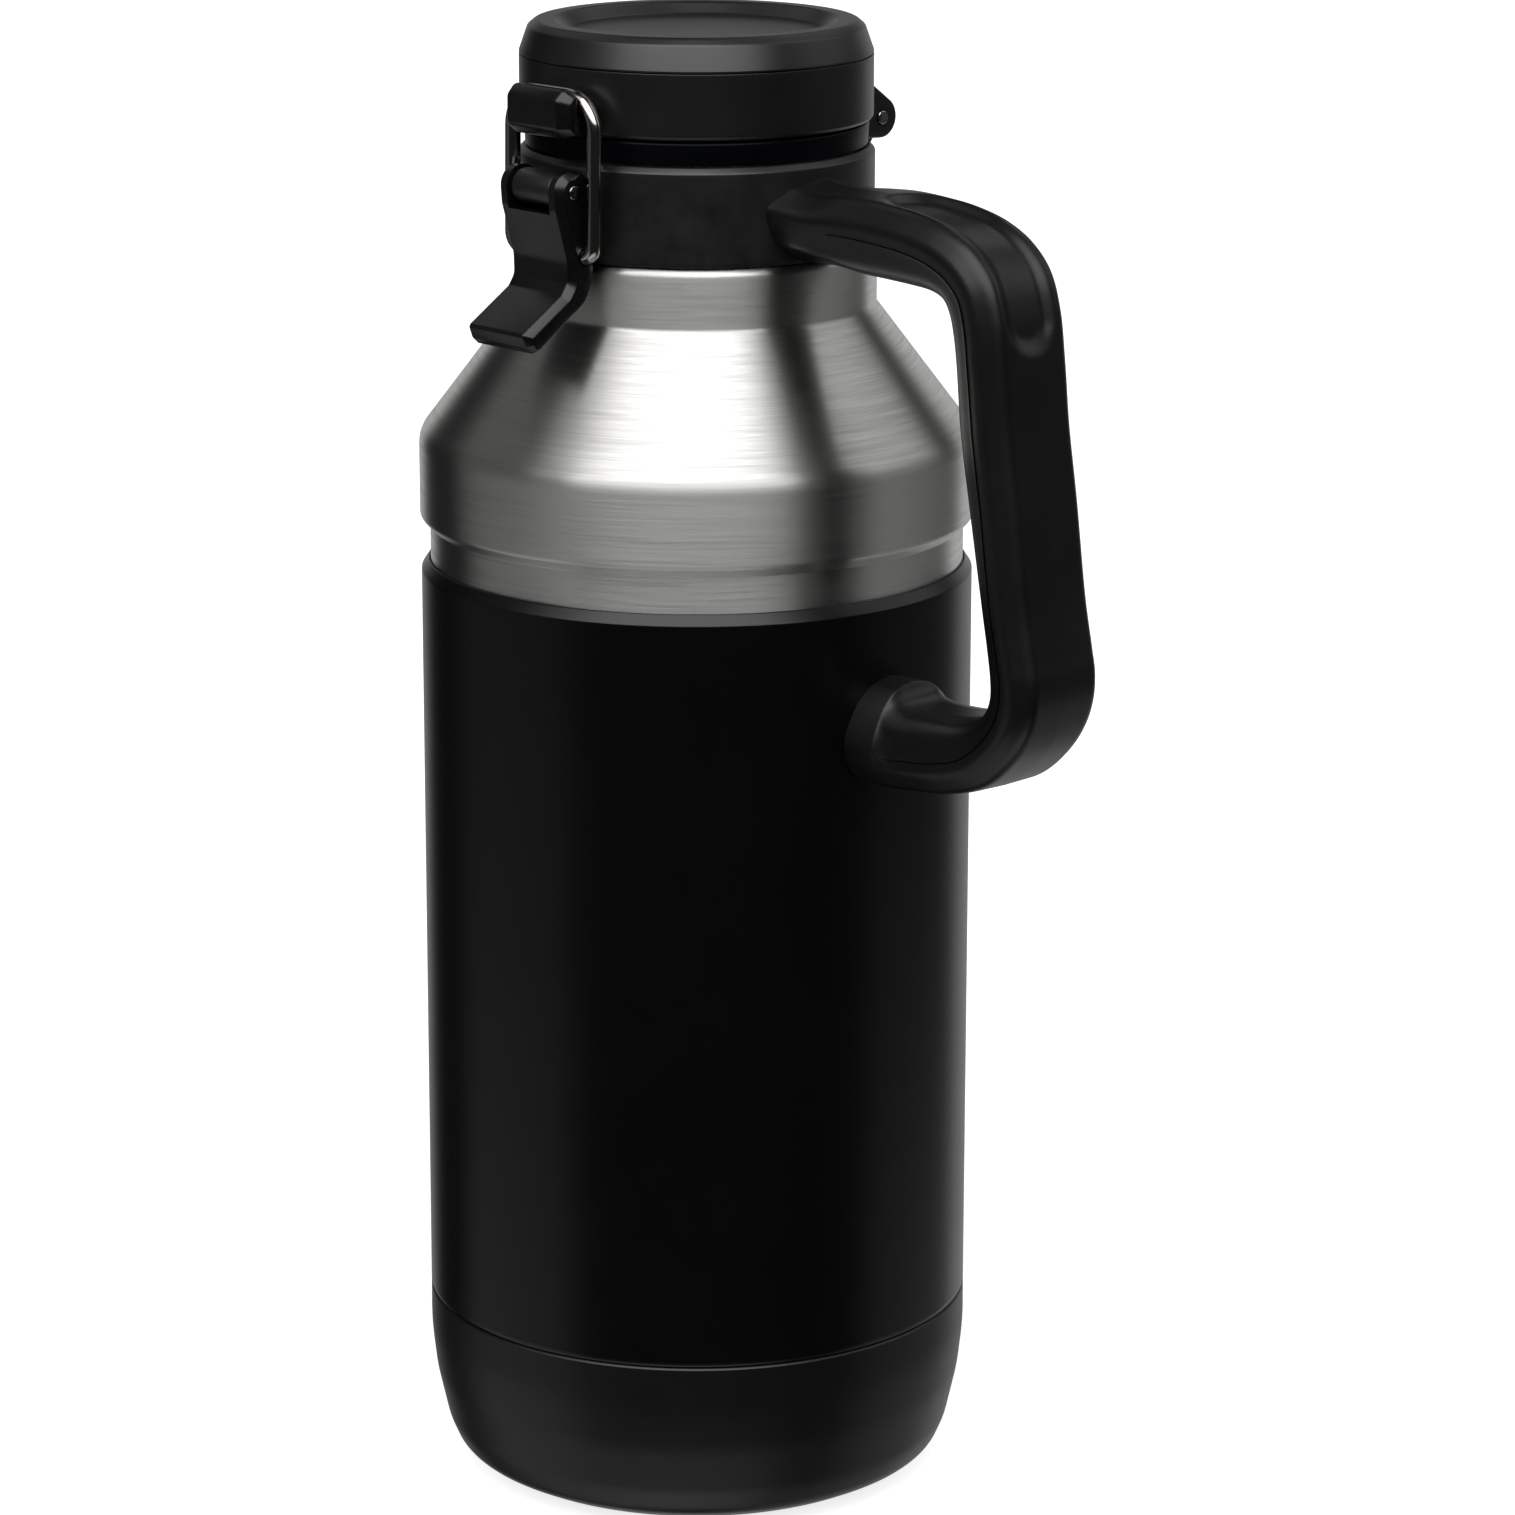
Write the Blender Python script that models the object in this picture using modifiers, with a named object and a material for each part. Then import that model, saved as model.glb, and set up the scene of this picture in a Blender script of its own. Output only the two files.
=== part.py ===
"""Vacuum growler with a hinged, latch-down lid and a side handle.

Metres, +Z up. The origin is the middle of the underside. The latch is at -Y,
the lid's hinge at +Y and the handle at +X. Outlines are written in millimetres
as (outward, up) pairs, or (outward, up, corner radius), and scaled once.
Run with: blender --background --python part.py
"""

import math

import bmesh
import bpy
from mathutils import Matrix, Vector

MM = 0.001
GAP = 0.3  # between neighbouring pieces

# Driving dimensions, in millimetres.
HEIGHT = 310.0
BODY_R = 57.35  # steel shoulder, boot and sleeve share this girth
SLEEVE_R = 57.4
SHELL_R = 55.5  # steel body inside the sleeve, seen in the groove above it
STEEL_WALL = 0.8
SLEEVE_TOP, GROOVE_TOP, BOOT_TOP = 198.4, 206.3, 39.0
SHOULDER_Z, NECK_Z = 225.7, 251.9  # lower and upper corners of the cone
NECK_R, MOUTH_R = 37.15, 31.1
THREAD_R, SHELL_BOTTOM = 33.0, 9.0
PAD_R, PAD_DEPTH = 37.5, 2.5
LINER_R, LINER_BOTTOM = 50.3, 15.5  # the inner bottle, inside
COLLAR_R, COLLAR_BOTTOM, COLLAR_TOP = 36.6, 264.5, 284.5
POUR_R, RIM_Z = 35.2, 289.5
LID_R, LID_BOTTOM, LID_SEAM = 36.25, 290.0, 303.2
PLUG_BOTTOM = 275.5
GRIP_HALF, ROOT_HALF = 11.8, 13.4  # half-widths of the handle and of its root

LID_AXIS = (45.2, 286.2)  # (outward, up) at the back
LEVER_AXIS = (42.0, 279.6)  # (outward, up) at the front
BAIL_AXIS = (39.4, 266.4)
BAIL_BAR = (38.6, 297.7)  # middle of the wire's top bar, in the catch
BAIL_HALF = 12.3  # half the distance between the legs
WIRE_R, PIN_R, BORE_R = 1.5, 1.45, 1.75
LEVER_HALF, KNUCKLE_HALF = 9.2, 6.0
LATCH_KNUCKLE_R, HINGE_KNUCKLE_R = 3.4, 4.0
EAR_INNER, EAR_OUTER = 5.2, 8.5  # the lid's two hinge ears, from the middle plane
CATCH_HALF = 9.4
TAB_X, TAB_Z = (3.0, 7.0), (294.6, 297.0)  # the catch's two tabs through the lid's wall
SCREW_SPREAD, UPPER_SCREW_Z, LOWER_SCREW_Z = 4.4, 274.4, 169.6
BRACKET_LOW, BRACKET_HIGH = (50.0, -7.0, 166.0), (62.0, 7.0, 175.5)  # before its back is cut
SHANK_R, PILOT_R, CLEAR_R = 1.3, 1.6, 1.7
COVER_DEPTH = 6.0
HOLLOW = slice(3, 22)  # the handle's stations between its two solid ends

FINE, COARSE, SMALL = 40, 32, 16  # sides of round pieces

# Frames for outlines drawn as (outward, up): where "outward" points.
TO_FRONT = Matrix(((0, 0, -1), (-1, 0, 0), (0, 1, 0))).to_4x4()
TO_BACK = Matrix(((0, 0, 1), (1, 0, 0), (0, 1, 0))).to_4x4()

MATERIALS = {
    "black_matte": ((0.018, 0.018, 0.019), 0.5, 0.0),
    "black_gloss": ((0.012, 0.012, 0.013), 0.25, 0.0),
    "black_rubber": ((0.03, 0.03, 0.031), 0.7, 0.0),
    "steel_brushed": ((0.62, 0.62, 0.61), 0.32, 1.0),
    "steel_polished": ((0.7, 0.7, 0.7), 0.12, 1.0),
    "silicone": ((0.35, 0.35, 0.35), 0.6, 0.0),
    "foam": ((0.85, 0.84, 0.8), 0.9, 0.0),
}


def clear_scene():
    for obj in list(bpy.data.objects):
        bpy.data.objects.remove(obj, do_unlink=True)


def material(name):
    found = bpy.data.materials.get(name)
    if found:
        return found
    color, roughness, metallic = MATERIALS[name]
    made = bpy.data.materials.new(name)
    made.use_nodes = True
    shader = made.node_tree.nodes["Principled BSDF"]
    shader.inputs["Base Color"].default_value = (*color, 1.0)
    shader.inputs["Roughness"].default_value = roughness
    shader.inputs["Metallic"].default_value = metallic
    made.diffuse_color = (*color, 1.0)
    return made


def collection(name):
    made = bpy.data.collections.new(name)
    bpy.context.scene.collection.children.link(made)
    return made


def arc(centre, radius, start, end, steps):
    """Points on a circle, from one angle to another in degrees."""
    return [
        (
            centre[0] + radius * math.cos(math.radians(start + (end - start) * i / steps)),
            centre[1] + radius * math.sin(math.radians(start + (end - start) * i / steps)),
        )
        for i in range(steps + 1)
    ]


def fillet(before, corner, after, radius, steps):
    """The points that round one corner of an outline."""
    here = Vector(corner)
    back = (Vector(before) - here).normalized()
    ahead = (Vector(after) - here).normalized()
    half = back.angle(ahead) / 2
    reach = radius / math.tan(half)
    middle = here + (back + ahead).normalized() * radius / math.sin(half)
    first = here + back * reach - middle
    turn = first.angle_signed(here + ahead * reach - middle)
    return [
        tuple(middle + Matrix.Rotation(-turn * i / steps, 2) @ first)
        for i in range(steps + 1)
    ]


def rounded(corners, closed=False, steps=2):
    """An outline whose corners are (outward, up) or (outward, up, radius)."""
    points = []
    count = len(corners)
    for i, corner in enumerate(corners):
        inside = closed or 0 < i < count - 1
        if len(corner) == 3 and inside:
            before, after = corners[i - 1][:2], corners[(i + 1) % count][:2]
            points += fillet(before, corner[:2], after, corner[2], steps)
        else:
            points.append(tuple(corner[:2]))
    return points


def signed_area(points):
    return sum(
        a[0] * b[1] - b[0] * a[1] for a, b in zip(points, points[1:] + points[:1])
    ) / 2


def new_object(name, mesh, target, look=None):
    obj = bpy.data.objects.new(name, mesh)
    target.objects.link(obj)
    if look:
        mesh.materials.append(material(look))
    return obj


def as_cutter(obj):
    obj.hide_render = True
    obj.display_type = "WIRE"
    return obj


def turned(name, outline, target, look=None, sides=FINE):
    """A solid of revolution about Z. An outline that starts on the axis also ends on it."""
    on_axis = outline[0][0] == 0
    if signed_area(outline) > 0:
        outline = outline[::-1]
    mesh = bpy.data.meshes.new(name)
    edges = [(i, i + 1) for i in range(len(outline) - 1)]
    if not on_axis:
        edges.append((len(outline) - 1, 0))
    mesh.from_pydata([(r * MM, 0, z * MM) for r, z in outline], edges, [])
    obj = new_object(name, mesh, target, look)
    spin = obj.modifiers.new("Turn", "SCREW")
    spin.axis = "Z"
    spin.steps = spin.render_steps = sides
    spin.use_merge_vertices = True
    spin.merge_threshold = 1e-6
    return obj


def plate(name, outline, half, frame, target, look=None, edge=0.0):
    """A flat outline in its own frame, thickened both ways, with an optional chamfer."""
    curve = bpy.data.curves.new(name, "CURVE")
    curve.dimensions = "2D"
    curve.fill_mode = "BOTH"
    curve.extrude = (half - edge) * MM
    curve.bevel_depth = edge * MM
    curve.bevel_resolution = 0
    curve.offset = -edge * MM
    spline = curve.splines.new("POLY")
    spline.points.add(len(outline) - 1)
    for point, (across, up) in zip(spline.points, outline):
        point.co = (across * MM, up * MM, 0, 1)
    spline.use_cyclic_u = True
    shape = bpy.data.objects.new(name, curve)
    target.objects.link(shape)
    shape.matrix_world = frame
    bpy.context.view_layer.update()
    graph = bpy.context.evaluated_depsgraph_get()
    mesh = bpy.data.meshes.new_from_object(shape.evaluated_get(graph))
    bpy.data.objects.remove(shape)
    bpy.data.curves.remove(curve)
    weld(mesh)
    mesh.name = name
    obj = new_object(name, mesh, target, look)
    obj.matrix_world = frame
    return obj


def weld(mesh):
    work = bmesh.new()
    work.from_mesh(mesh)
    bmesh.ops.remove_doubles(work, verts=work.verts, dist=1e-6)
    bmesh.ops.recalc_face_normals(work, faces=work.faces)
    work.to_mesh(mesh)
    work.free()


def loft(name, rings, target, look=None):
    """A solid through closed rings of equal length, given in millimetres."""
    work = bmesh.new()
    rows = [[work.verts.new(Vector(p) * MM) for p in ring] for ring in rings]
    count = len(rows[0])
    for here, ahead in zip(rows, rows[1:]):
        for i in range(count):
            j = (i + 1) % count
            work.faces.new((here[i], here[j], ahead[j], ahead[i]))
    work.faces.new(rows[0][::-1])
    work.faces.new(rows[-1])
    bmesh.ops.recalc_face_normals(work, faces=work.faces)
    mesh = bpy.data.meshes.new(name)
    work.to_mesh(mesh)
    work.free()
    return new_object(name, mesh, target, look)


def rod(name, radius, start, end, axis, target, look=None, sides=SMALL):
    """A cylinder along X, Y or Z between two points on a line, in millimetres."""
    start, end = Vector(start), Vector(end)
    turn = {"X": Matrix.Rotation(math.pi / 2, 4, "Y"), "Y": Matrix.Rotation(math.pi / 2, 4, "X")}
    work = bmesh.new()
    bmesh.ops.create_cone(
        work,
        cap_ends=True,
        segments=sides,
        radius1=radius * MM,
        radius2=radius * MM,
        depth=(end - start).length * MM,
        matrix=turn.get(axis, Matrix()),
    )
    mesh = bpy.data.meshes.new(name)
    work.to_mesh(mesh)
    work.free()
    obj = new_object(name, mesh, target, look)
    obj.location = (start + end) / 2 * MM
    return obj


def box(name, low, high, target):
    work = bmesh.new()
    bmesh.ops.create_cube(work, size=MM)
    low, high = Vector(low), Vector(high)
    bmesh.ops.scale(work, vec=high - low, verts=work.verts)
    mesh = bpy.data.meshes.new(name)
    work.to_mesh(mesh)
    work.free()
    obj = new_object(name, mesh, target)
    obj.location = (low + high) / 2 * MM
    return obj


def combine(obj, tool, operation, solver="EXACT"):
    step = obj.modifiers.new(f"{operation.title()} {tool.name}", "BOOLEAN")
    step.operation = operation
    step.solver = solver
    step.object = as_cutter(tool)


def settle(obj):
    """Applies the modifiers and shades the round faces smooth."""
    bpy.context.view_layer.update()
    graph = bpy.context.evaluated_depsgraph_get()
    mesh = bpy.data.meshes.new_from_object(obj.evaluated_get(graph))
    obj.modifiers.clear()
    obj.data = mesh
    mesh.name = obj.name
    mesh.shade_smooth()
    mesh.set_sharp_from_angle(angle=math.radians(30))


def screw(name, tip, head, target, head_r, head_h, shank_r):
    """A pan-head screw: tip and head are its two ends in millimetres."""
    tip, head = Vector(tip), Vector(head)
    way = (head - tip).normalized()
    length = (head - tip).length
    outline = [
        (0, 0),
        (shank_r * 0.5, 0),
        (shank_r, shank_r),
        (shank_r, length - head_h),
        (head_r, length - head_h),
        (head_r, length - 0.5),
        (head_r - 0.6, length),
        (1.0, length),
        (0, length - 0.8),
    ]
    obj = turned(name, outline, target, "steel_polished", SMALL)
    obj.matrix_world = Matrix.Translation(tip * MM) @ way.to_track_quat("Z", "Y").to_matrix().to_4x4()
    return obj


def shell_line(offset):
    """The steel shoulder's line from the groove to the neck, moved inwards by a wall."""
    slope = Vector((BODY_R - NECK_R, NECK_Z - SHOULDER_Z))
    normal = Vector((slope.y, slope.x)).normalized() * offset
    drop = normal.y - (normal.x - offset) * slope.y / slope.x
    return [
        (SHELL_R - offset, GROOVE_TOP + offset / 2),
        (BODY_R - offset, GROOVE_TOP + 1.6 + offset / 2),
        (BODY_R - offset, SHOULDER_Z - drop, 11.4 - offset),
        (NECK_R - offset, NECK_Z - drop, 1.6 + offset),
    ]


def make_shell(parts):
    """The outer steel body. It tapers into the boot and steps in at the neck's thread."""
    step = COLLAR_BOTTOM - GAP
    skin, lining = [
        [
            (51.0 - wall, SHELL_BOTTOM),
            (53.2 - wall, 16.0),
            (SHELL_R - wall, 28.0),
            *rounded(shell_line(wall), steps=steps),
            (NECK_R - wall, step - wall),
            (THREAD_R - wall, step - wall),
            (THREAD_R - wall, RIM_Z - 1.1),
        ]
        for wall, steps in ((0, 3), (STEEL_WALL, 1))
    ]
    turned("outer_shell", skin + lining[::-1], parts, "steel_brushed")


def make_liner(parts):
    """The inner bottle, hung from its rolled rim."""
    skin, lining = [
        [
            (0, LINER_BOTTOM - wall),
            (LINER_R + wall, LINER_BOTTOM - wall, 8.2 + wall),
            (LINER_R + wall, 225.6 + wall / 2, 9.0),
            (MOUTH_R + wall, 250.7 + wall / 2, 4.0),
            (MOUTH_R + wall, RIM_Z - 0.8 - wall / 8),
        ]
        for wall in (STEEL_WALL, 0)
    ]
    rim = [(THREAD_R, RIM_Z - 0.8), (THREAD_R, RIM_Z), (MOUTH_R, RIM_Z)]
    outline = rounded(skin, steps=2)[:-1]
    outline += [(MOUTH_R + STEEL_WALL, RIM_Z - 0.8), *rim]
    turned("inner_liner", outline + rounded(lining, steps=2)[-2::-1], parts, "steel_brushed", COARSE)


def make_vacuum_parts(parts):
    """The closed-off space between the two bottles: base plate, seal and getter."""
    low, rim = SHELL_BOTTOM + GAP, 51.0 - STEEL_WALL - GAP
    high = low + STEEL_WALL
    base = [
        (2.8, low),
        (rim, low),
        (rim, low + 4.5),
        (rim - STEEL_WALL, low + 4.5),
        (rim - STEEL_WALL, high),
        (2.8, high),
    ]
    turned("shell_base", base, parts, "steel_brushed", COARSE)
    cap = [(0, low - 1.5), (9.0, low - 1.5), (9.0, low - GAP), (2.5, low - GAP), (2.5, high), (0, high)]
    turned("vacuum_seal_cap", cap, parts, "steel_brushed", SMALL)
    getter = [(14.0, high + GAP), (17.5, high + GAP), (17.5, high + 3.0), (14.0, high + 3.0)]
    turned("getter_ring", getter, parts, "steel_brushed", SMALL)


def make_boot(parts):
    cavity_r = SHELL_R + GAP
    boot = [
        (0, PAD_DEPTH),
        (PAD_R + GAP, PAD_DEPTH),
        (PAD_R + GAP, 0),
        (41.5, 0),
        (46.6, 1.9),
        (51.8, 4.7),
        (53.5, 8.6),
        (54.8, 13.6),
        (56.4, 20.5),
        (57.5, 30.0),
        (SLEEVE_R, BOOT_TOP - 0.4),
        (SLEEVE_R - 0.4, BOOT_TOP),
        (cavity_r, BOOT_TOP),
        (cavity_r, 27.5),
        (53.55, 15.7),
        (51.6, 8.4),
        (49.6, PAD_DEPTH + 2.0),
        (0, PAD_DEPTH + 2.0),
    ]
    turned("base_boot", boot, parts, "black_rubber")
    pad = [(0, 0), (PAD_R, 0), (PAD_R, PAD_DEPTH - GAP), (0, PAD_DEPTH - GAP)]
    turned("foot_pad", pad, parts, "black_rubber", COARSE)


def make_sleeve(parts, cutters):
    """The black tube round the body, and the steel block that the handle's lower end hides."""
    cavity_r = SHELL_R + GAP
    sleeve = [
        (SLEEVE_R - 0.4, BOOT_TOP + GAP),
        (SLEEVE_R, BOOT_TOP + GAP + 0.4),
        (SLEEVE_R, SLEEVE_TOP, 1.7),
        (cavity_r, SLEEVE_TOP),
        (cavity_r, BOOT_TOP + GAP),
    ]
    obj = turned("body_sleeve", rounded(sleeve, closed=True), parts, "black_matte")
    combine(obj, bracket_space("sleeve_window", cutters), "DIFFERENCE")
    settle(obj)

    block = box("handle_bracket", BRACKET_LOW, BRACKET_HIGH, parts)
    block.data.materials.append(material("steel_brushed"))
    face = [(0, 150), (cavity_r, 150), (cavity_r, 192), (0, 192)]
    combine(block, turned("bracket_face", face, cutters), "DIFFERENCE")
    for side, y in (("left", -SCREW_SPREAD), ("right", SCREW_SPREAD)):
        ends = (54.0, y, LOWER_SCREW_Z), (64.0, y, LOWER_SCREW_Z)
        combine(block, rod(f"bracket_pilot_{side}", PILOT_R, *ends, "X", cutters), "DIFFERENCE")
    settle(block)


def bracket_space(name, cutters):
    """The room that the sleeve and the handle leave round the bracket."""
    room = Vector((GAP, GAP, GAP))
    return box(name, Vector(BRACKET_LOW) - room, Vector(BRACKET_HIGH) + room, cutters)


def make_collar(parts, cutters):
    inner_r = 33.3
    ring = [
        (inner_r, COLLAR_BOTTOM),
        (COLLAR_R - 0.3, COLLAR_BOTTOM),
        (COLLAR_R, COLLAR_BOTTOM + 0.3),
        (COLLAR_R, COLLAR_TOP, 1.5),
        (inner_r, COLLAR_TOP),
    ]
    obj = turned("neck_collar", rounded(ring, closed=True), parts, "black_matte")

    hinge = [
        (34.5, 268.0),
        (34.5, 283.0),
        (36.8, 284.0),
        *arc(LID_AXIS, HINGE_KNUCKLE_R, 150, -60, 10),
        (36.3, 268.0),
    ]
    combine(obj, plate("hinge_knuckle", hinge, EAR_INNER - GAP, TO_BACK, cutters), "UNION")
    latch = [
        (34.5, 272.5),
        (34.5, 281.5),
        *arc(LEVER_AXIS, LATCH_KNUCKLE_R, 120, -100, 10),
    ]
    combine(obj, plate("latch_knuckle", latch, KNUCKLE_HALF, TO_FRONT, cutters), "UNION")
    bore = [(0, 260), (inner_r, 260), (inner_r, 300), (0, 300)]
    combine(obj, turned("collar_bore", bore, cutters), "DIFFERENCE")
    for name, (out, up), side in (("lid", LID_AXIS, 1), ("lever", LEVER_AXIS, -1)):
        hole = rod(f"{name}_bore", BORE_R, (-12, side * out, up), (12, side * out, up), "X", cutters)
        combine(obj, hole, "DIFFERENCE")
    for side, y in (("left", -SCREW_SPREAD), ("right", SCREW_SPREAD)):
        ends = (30, y, UPPER_SCREW_Z), (40, y, UPPER_SCREW_Z)
        combine(obj, rod(f"collar_pilot_{side}", PILOT_R, *ends, "X", cutters), "DIFFERENCE")
    settle(obj)

    pour = [
        (inner_r, COLLAR_TOP + GAP),
        (POUR_R - 0.1, COLLAR_TOP + GAP),
        (POUR_R + 0.2, RIM_Z, 0.6),
        (inner_r, RIM_Z, 0.4),
    ]
    turned("pour_ring", rounded(pour, closed=True, steps=2), parts, "black_gloss")

    for name, (out, up), side, reach in (
        ("hinge_pin", LID_AXIS, 1, EAR_OUTER + 0.4),
        ("latch_pin", LEVER_AXIS, -1, LEVER_HALF - 0.1),
    ):
        ends = (-reach, side * out, up), (reach, side * out, up)
        settle(rod(name, PIN_R, *ends, "X", parts, "steel_polished"))


def make_lid(parts, cutters):
    wall_in = 33.2
    body = [
        (0, LID_BOTTOM),
        (30.2, LID_BOTTOM),
        (30.2, 291.8),
        (35.0, 291.8),
        (35.0, LID_BOTTOM),
        (LID_R - 0.5, LID_BOTTOM),
        (LID_R, LID_BOTTOM + 0.5),
        (LID_R, LID_SEAM),
        (wall_in, LID_SEAM),
        (wall_in, 294.0),
        (0, 294.0),
    ]
    obj = turned("lid_body", body, parts, "black_matte")
    foot_in = COLLAR_R + 0.8
    ear = [
        (34.6, 299.4),
        (34.6, LID_BOTTOM + 0.6),
        (foot_in, LID_BOTTOM + 0.6),
        (foot_in, LID_AXIS[1] - 4.3, 1.2),
        *arc(LID_AXIS, 4.3, -90, 52, 8),
    ]
    middle = (EAR_INNER + EAR_OUTER) / 2
    for side in (-1, 1):
        frame = Matrix.Translation((side * middle * MM, 0, 0)) @ TO_BACK
        outline = rounded(ear, closed=True)
        tool = plate(f"ear_{side}", outline, EAR_OUTER - middle, frame, cutters, edge=0.4)
        combine(obj, tool, "UNION")
    inside = [(0, 294.0), (wall_in, 294.0), (wall_in, 310.0), (0, 310.0)]
    combine(obj, turned("lid_inside", inside, cutters), "DIFFERENCE")
    hole = rod("ear_bore", BORE_R, (-12, LID_AXIS[0], LID_AXIS[1]), (12, *LID_AXIS), "X", cutters)
    combine(obj, hole, "DIFFERENCE")
    for side in (-1, 1):
        low, high = tab_box(side, 30, 38, GAP)
        combine(obj, box(f"tab_window_{side}", low, high, cutters), "DIFFERENCE")
    settle(obj)

    lip = LID_SEAM + GAP
    cap = [
        (0, 304.6),
        (30.6, 304.6),
        (30.6, 300.2),
        (wall_in - GAP, 300.2),
        (wall_in - GAP, lip),
        (LID_R, lip),
        (LID_R, lip + 0.4),
        (34.3, 308.9, 1.5),
        (32.6, HEIGHT, 1.2),
        (28.6, HEIGHT, 1.6),
        (25.9, 307.7, 1.0),
        (0, 307.7),
    ]
    turned("lid_cap", rounded(cap), parts, "black_matte")
    turned("lid_foam", [(0, 294.3), (27.5, 294.3), (27.5, 303.8), (0, 303.8)], parts, "foam", COARSE)
    gasket = [(30.5, 289.8), (34.7, 289.8), (34.7, 291.5), (30.5, 291.5)]
    turned("lid_gasket", gasket, parts, "silicone", COARSE)
    plug = [
        (0, PLUG_BOTTOM),
        (27.9, PLUG_BOTTOM),
        (29.3, PLUG_BOTTOM + 1.4),
        (29.9, LID_BOTTOM - GAP),
        (27.7, LID_BOTTOM - GAP),
        (27.3, PLUG_BOTTOM + 2.2),
        (0, PLUG_BOTTOM + 2.2),
    ]
    turned("lid_plug", plug, parts, "black_matte", COARSE)
    foam = [(0, 278.1), (26.9, 278.1), (26.9, 289.6), (0, 289.6)]
    turned("plug_foam", foam, parts, "foam", COARSE)


def tab_box(side, near, far, spare):
    """Two corners of one of the catch's tabs, between two distances from the axis."""
    x0, x1 = sorted((side * (TAB_X[0] - spare), side * (TAB_X[1] + spare)))
    return (x0, -far, TAB_Z[0] - spare), (x1, -near, TAB_Z[1] + spare)


def make_catch(parts, cutters):
    """The hook on the lid. Its groove holds the wire, and two tabs snap through the wall."""
    catch = [
        (34.0, 290.2),
        (43.0, 290.2, 1.0),
        (44.9, 292.2, 1.0),
        (44.9, 297.2, 1.0),
        (43.4, 299.2, 0.8),
        (41.2, 299.2),
        (41.2, 295.3, 0.8),
        (36.9, 295.3, 0.2),
        (36.9, 297.4),
        (34.0, 297.4),
    ]
    outline = rounded(catch, closed=True, steps=2)
    obj = plate("latch_catch", outline, CATCH_HALF, TO_FRONT, parts, "black_gloss", edge=1.0)
    face_r = LID_R + GAP
    face = [(0, 280), (face_r, 280), (face_r, 312), (0, 312)]
    combine(obj, turned("lid_face", face, cutters), "DIFFERENCE")
    for side in (-1, 1):
        low, high = tab_box(side, 32.0, 37.5, 0)
        combine(obj, box(f"catch_tab_{side}", low, (high[0], high[1], 295.2), cutters), "UNION")
    settle(obj)


def make_lever(parts, cutters):
    """The thumb lever: two ears on the collar's pin, two flanges and a flared tab."""
    lever = [
        *arc(LEVER_AXIS, 4.2, 215, -5, 10),
        (44.9, 273.7),
        (42.8, 265.0, 6.0),
        (42.4, 261.3, 2.0),
        (44.1, 259.1, 1.5),
        (55.0, 252.2, 1.0),
        (53.3, 248.5, 0.6),
        (51.4, 248.9, 1.0),
        (39.3, 257.7, 3.0),
        (37.3, 261.5, 2.0),
        (37.2, 266.0),
    ]
    outline = rounded(lever, closed=True)
    obj = plate("latch_lever", outline, LEVER_HALF, TO_FRONT, parts, "black_gloss")
    inner = KNUCKLE_HALF + GAP
    top = box("lever_top_slot", (-inner, -60, 275.2), (inner, -30, 290), cutters)
    combine(obj, top, "DIFFERENCE")
    back = box("lever_back_relief", (-inner, -40.9, 259.5), (inner, -30, 276), cutters)
    combine(obj, back, "DIFFERENCE")
    for name, (out, up) in (("pin", LEVER_AXIS), ("bail", BAIL_AXIS)):
        hole = rod(f"lever_{name}_bore", BORE_R, (-12, -out, up), (12, -out, up), "X", cutters)
        combine(obj, hole, "DIFFERENCE")
    settle(obj)


def make_bail(parts):
    """The sprung wire loop, with its ends turned in through the lever's flanges."""
    low, high, end = BAIL_AXIS[1], BAIL_BAR[1], KNUCKLE_HALF + 0.9
    half = [(end, low), (BAIL_HALF, low, 3.0), (BAIL_HALF, high, 4.5), (0, high)]
    right = rounded(half)[:-1]
    loop = right + [(-x, z) for x, z in right[::-1]]
    curve = bpy.data.curves.new("bail_wire", "CURVE")
    curve.dimensions = "3D"
    curve.bevel_depth = WIRE_R * MM
    curve.bevel_resolution = 2
    curve.use_fill_caps = True
    spline = curve.splines.new("POLY")
    spline.points.add(len(loop) - 1)
    for point, (x, z) in zip(spline.points, loop):
        share = (z - low) / (high - low)
        out = BAIL_AXIS[0] + (BAIL_BAR[0] - BAIL_AXIS[0]) * share
        point.co = (x * MM, -out * MM, z * MM, 1)
    curve.materials.append(material("steel_polished"))
    parts.objects.link(bpy.data.objects.new("bail_wire", curve))


def handle_ring(outer, inner, half, root):
    """One section of the handle. A root of 1 is the diamond that meets the collar."""
    grip = ((0, 0.55), (0.07, 0.78), (0.38, 1), (0.62, 0.97), (0.93, 0.8), (1, 0.55))
    diamond = ((0, 0.22), (0.11, 0.62), (0.28, 1), (0.63, 0.87), (0.91, 0.49), (1, 0.18))
    side = []
    for (t0, w0), (t1, w1) in zip(grip, diamond):
        depth, width = t0 + (t1 - t0) * root, (w0 + (w1 - w0) * root) * half
        x = outer[0] + (inner[0] - outer[0]) * depth
        z = outer[1] + (inner[1] - outer[1]) * depth
        side.append((x, width, z))
    return side + [(x, -y, z) for x, y, z in side[::-1]]


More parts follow.
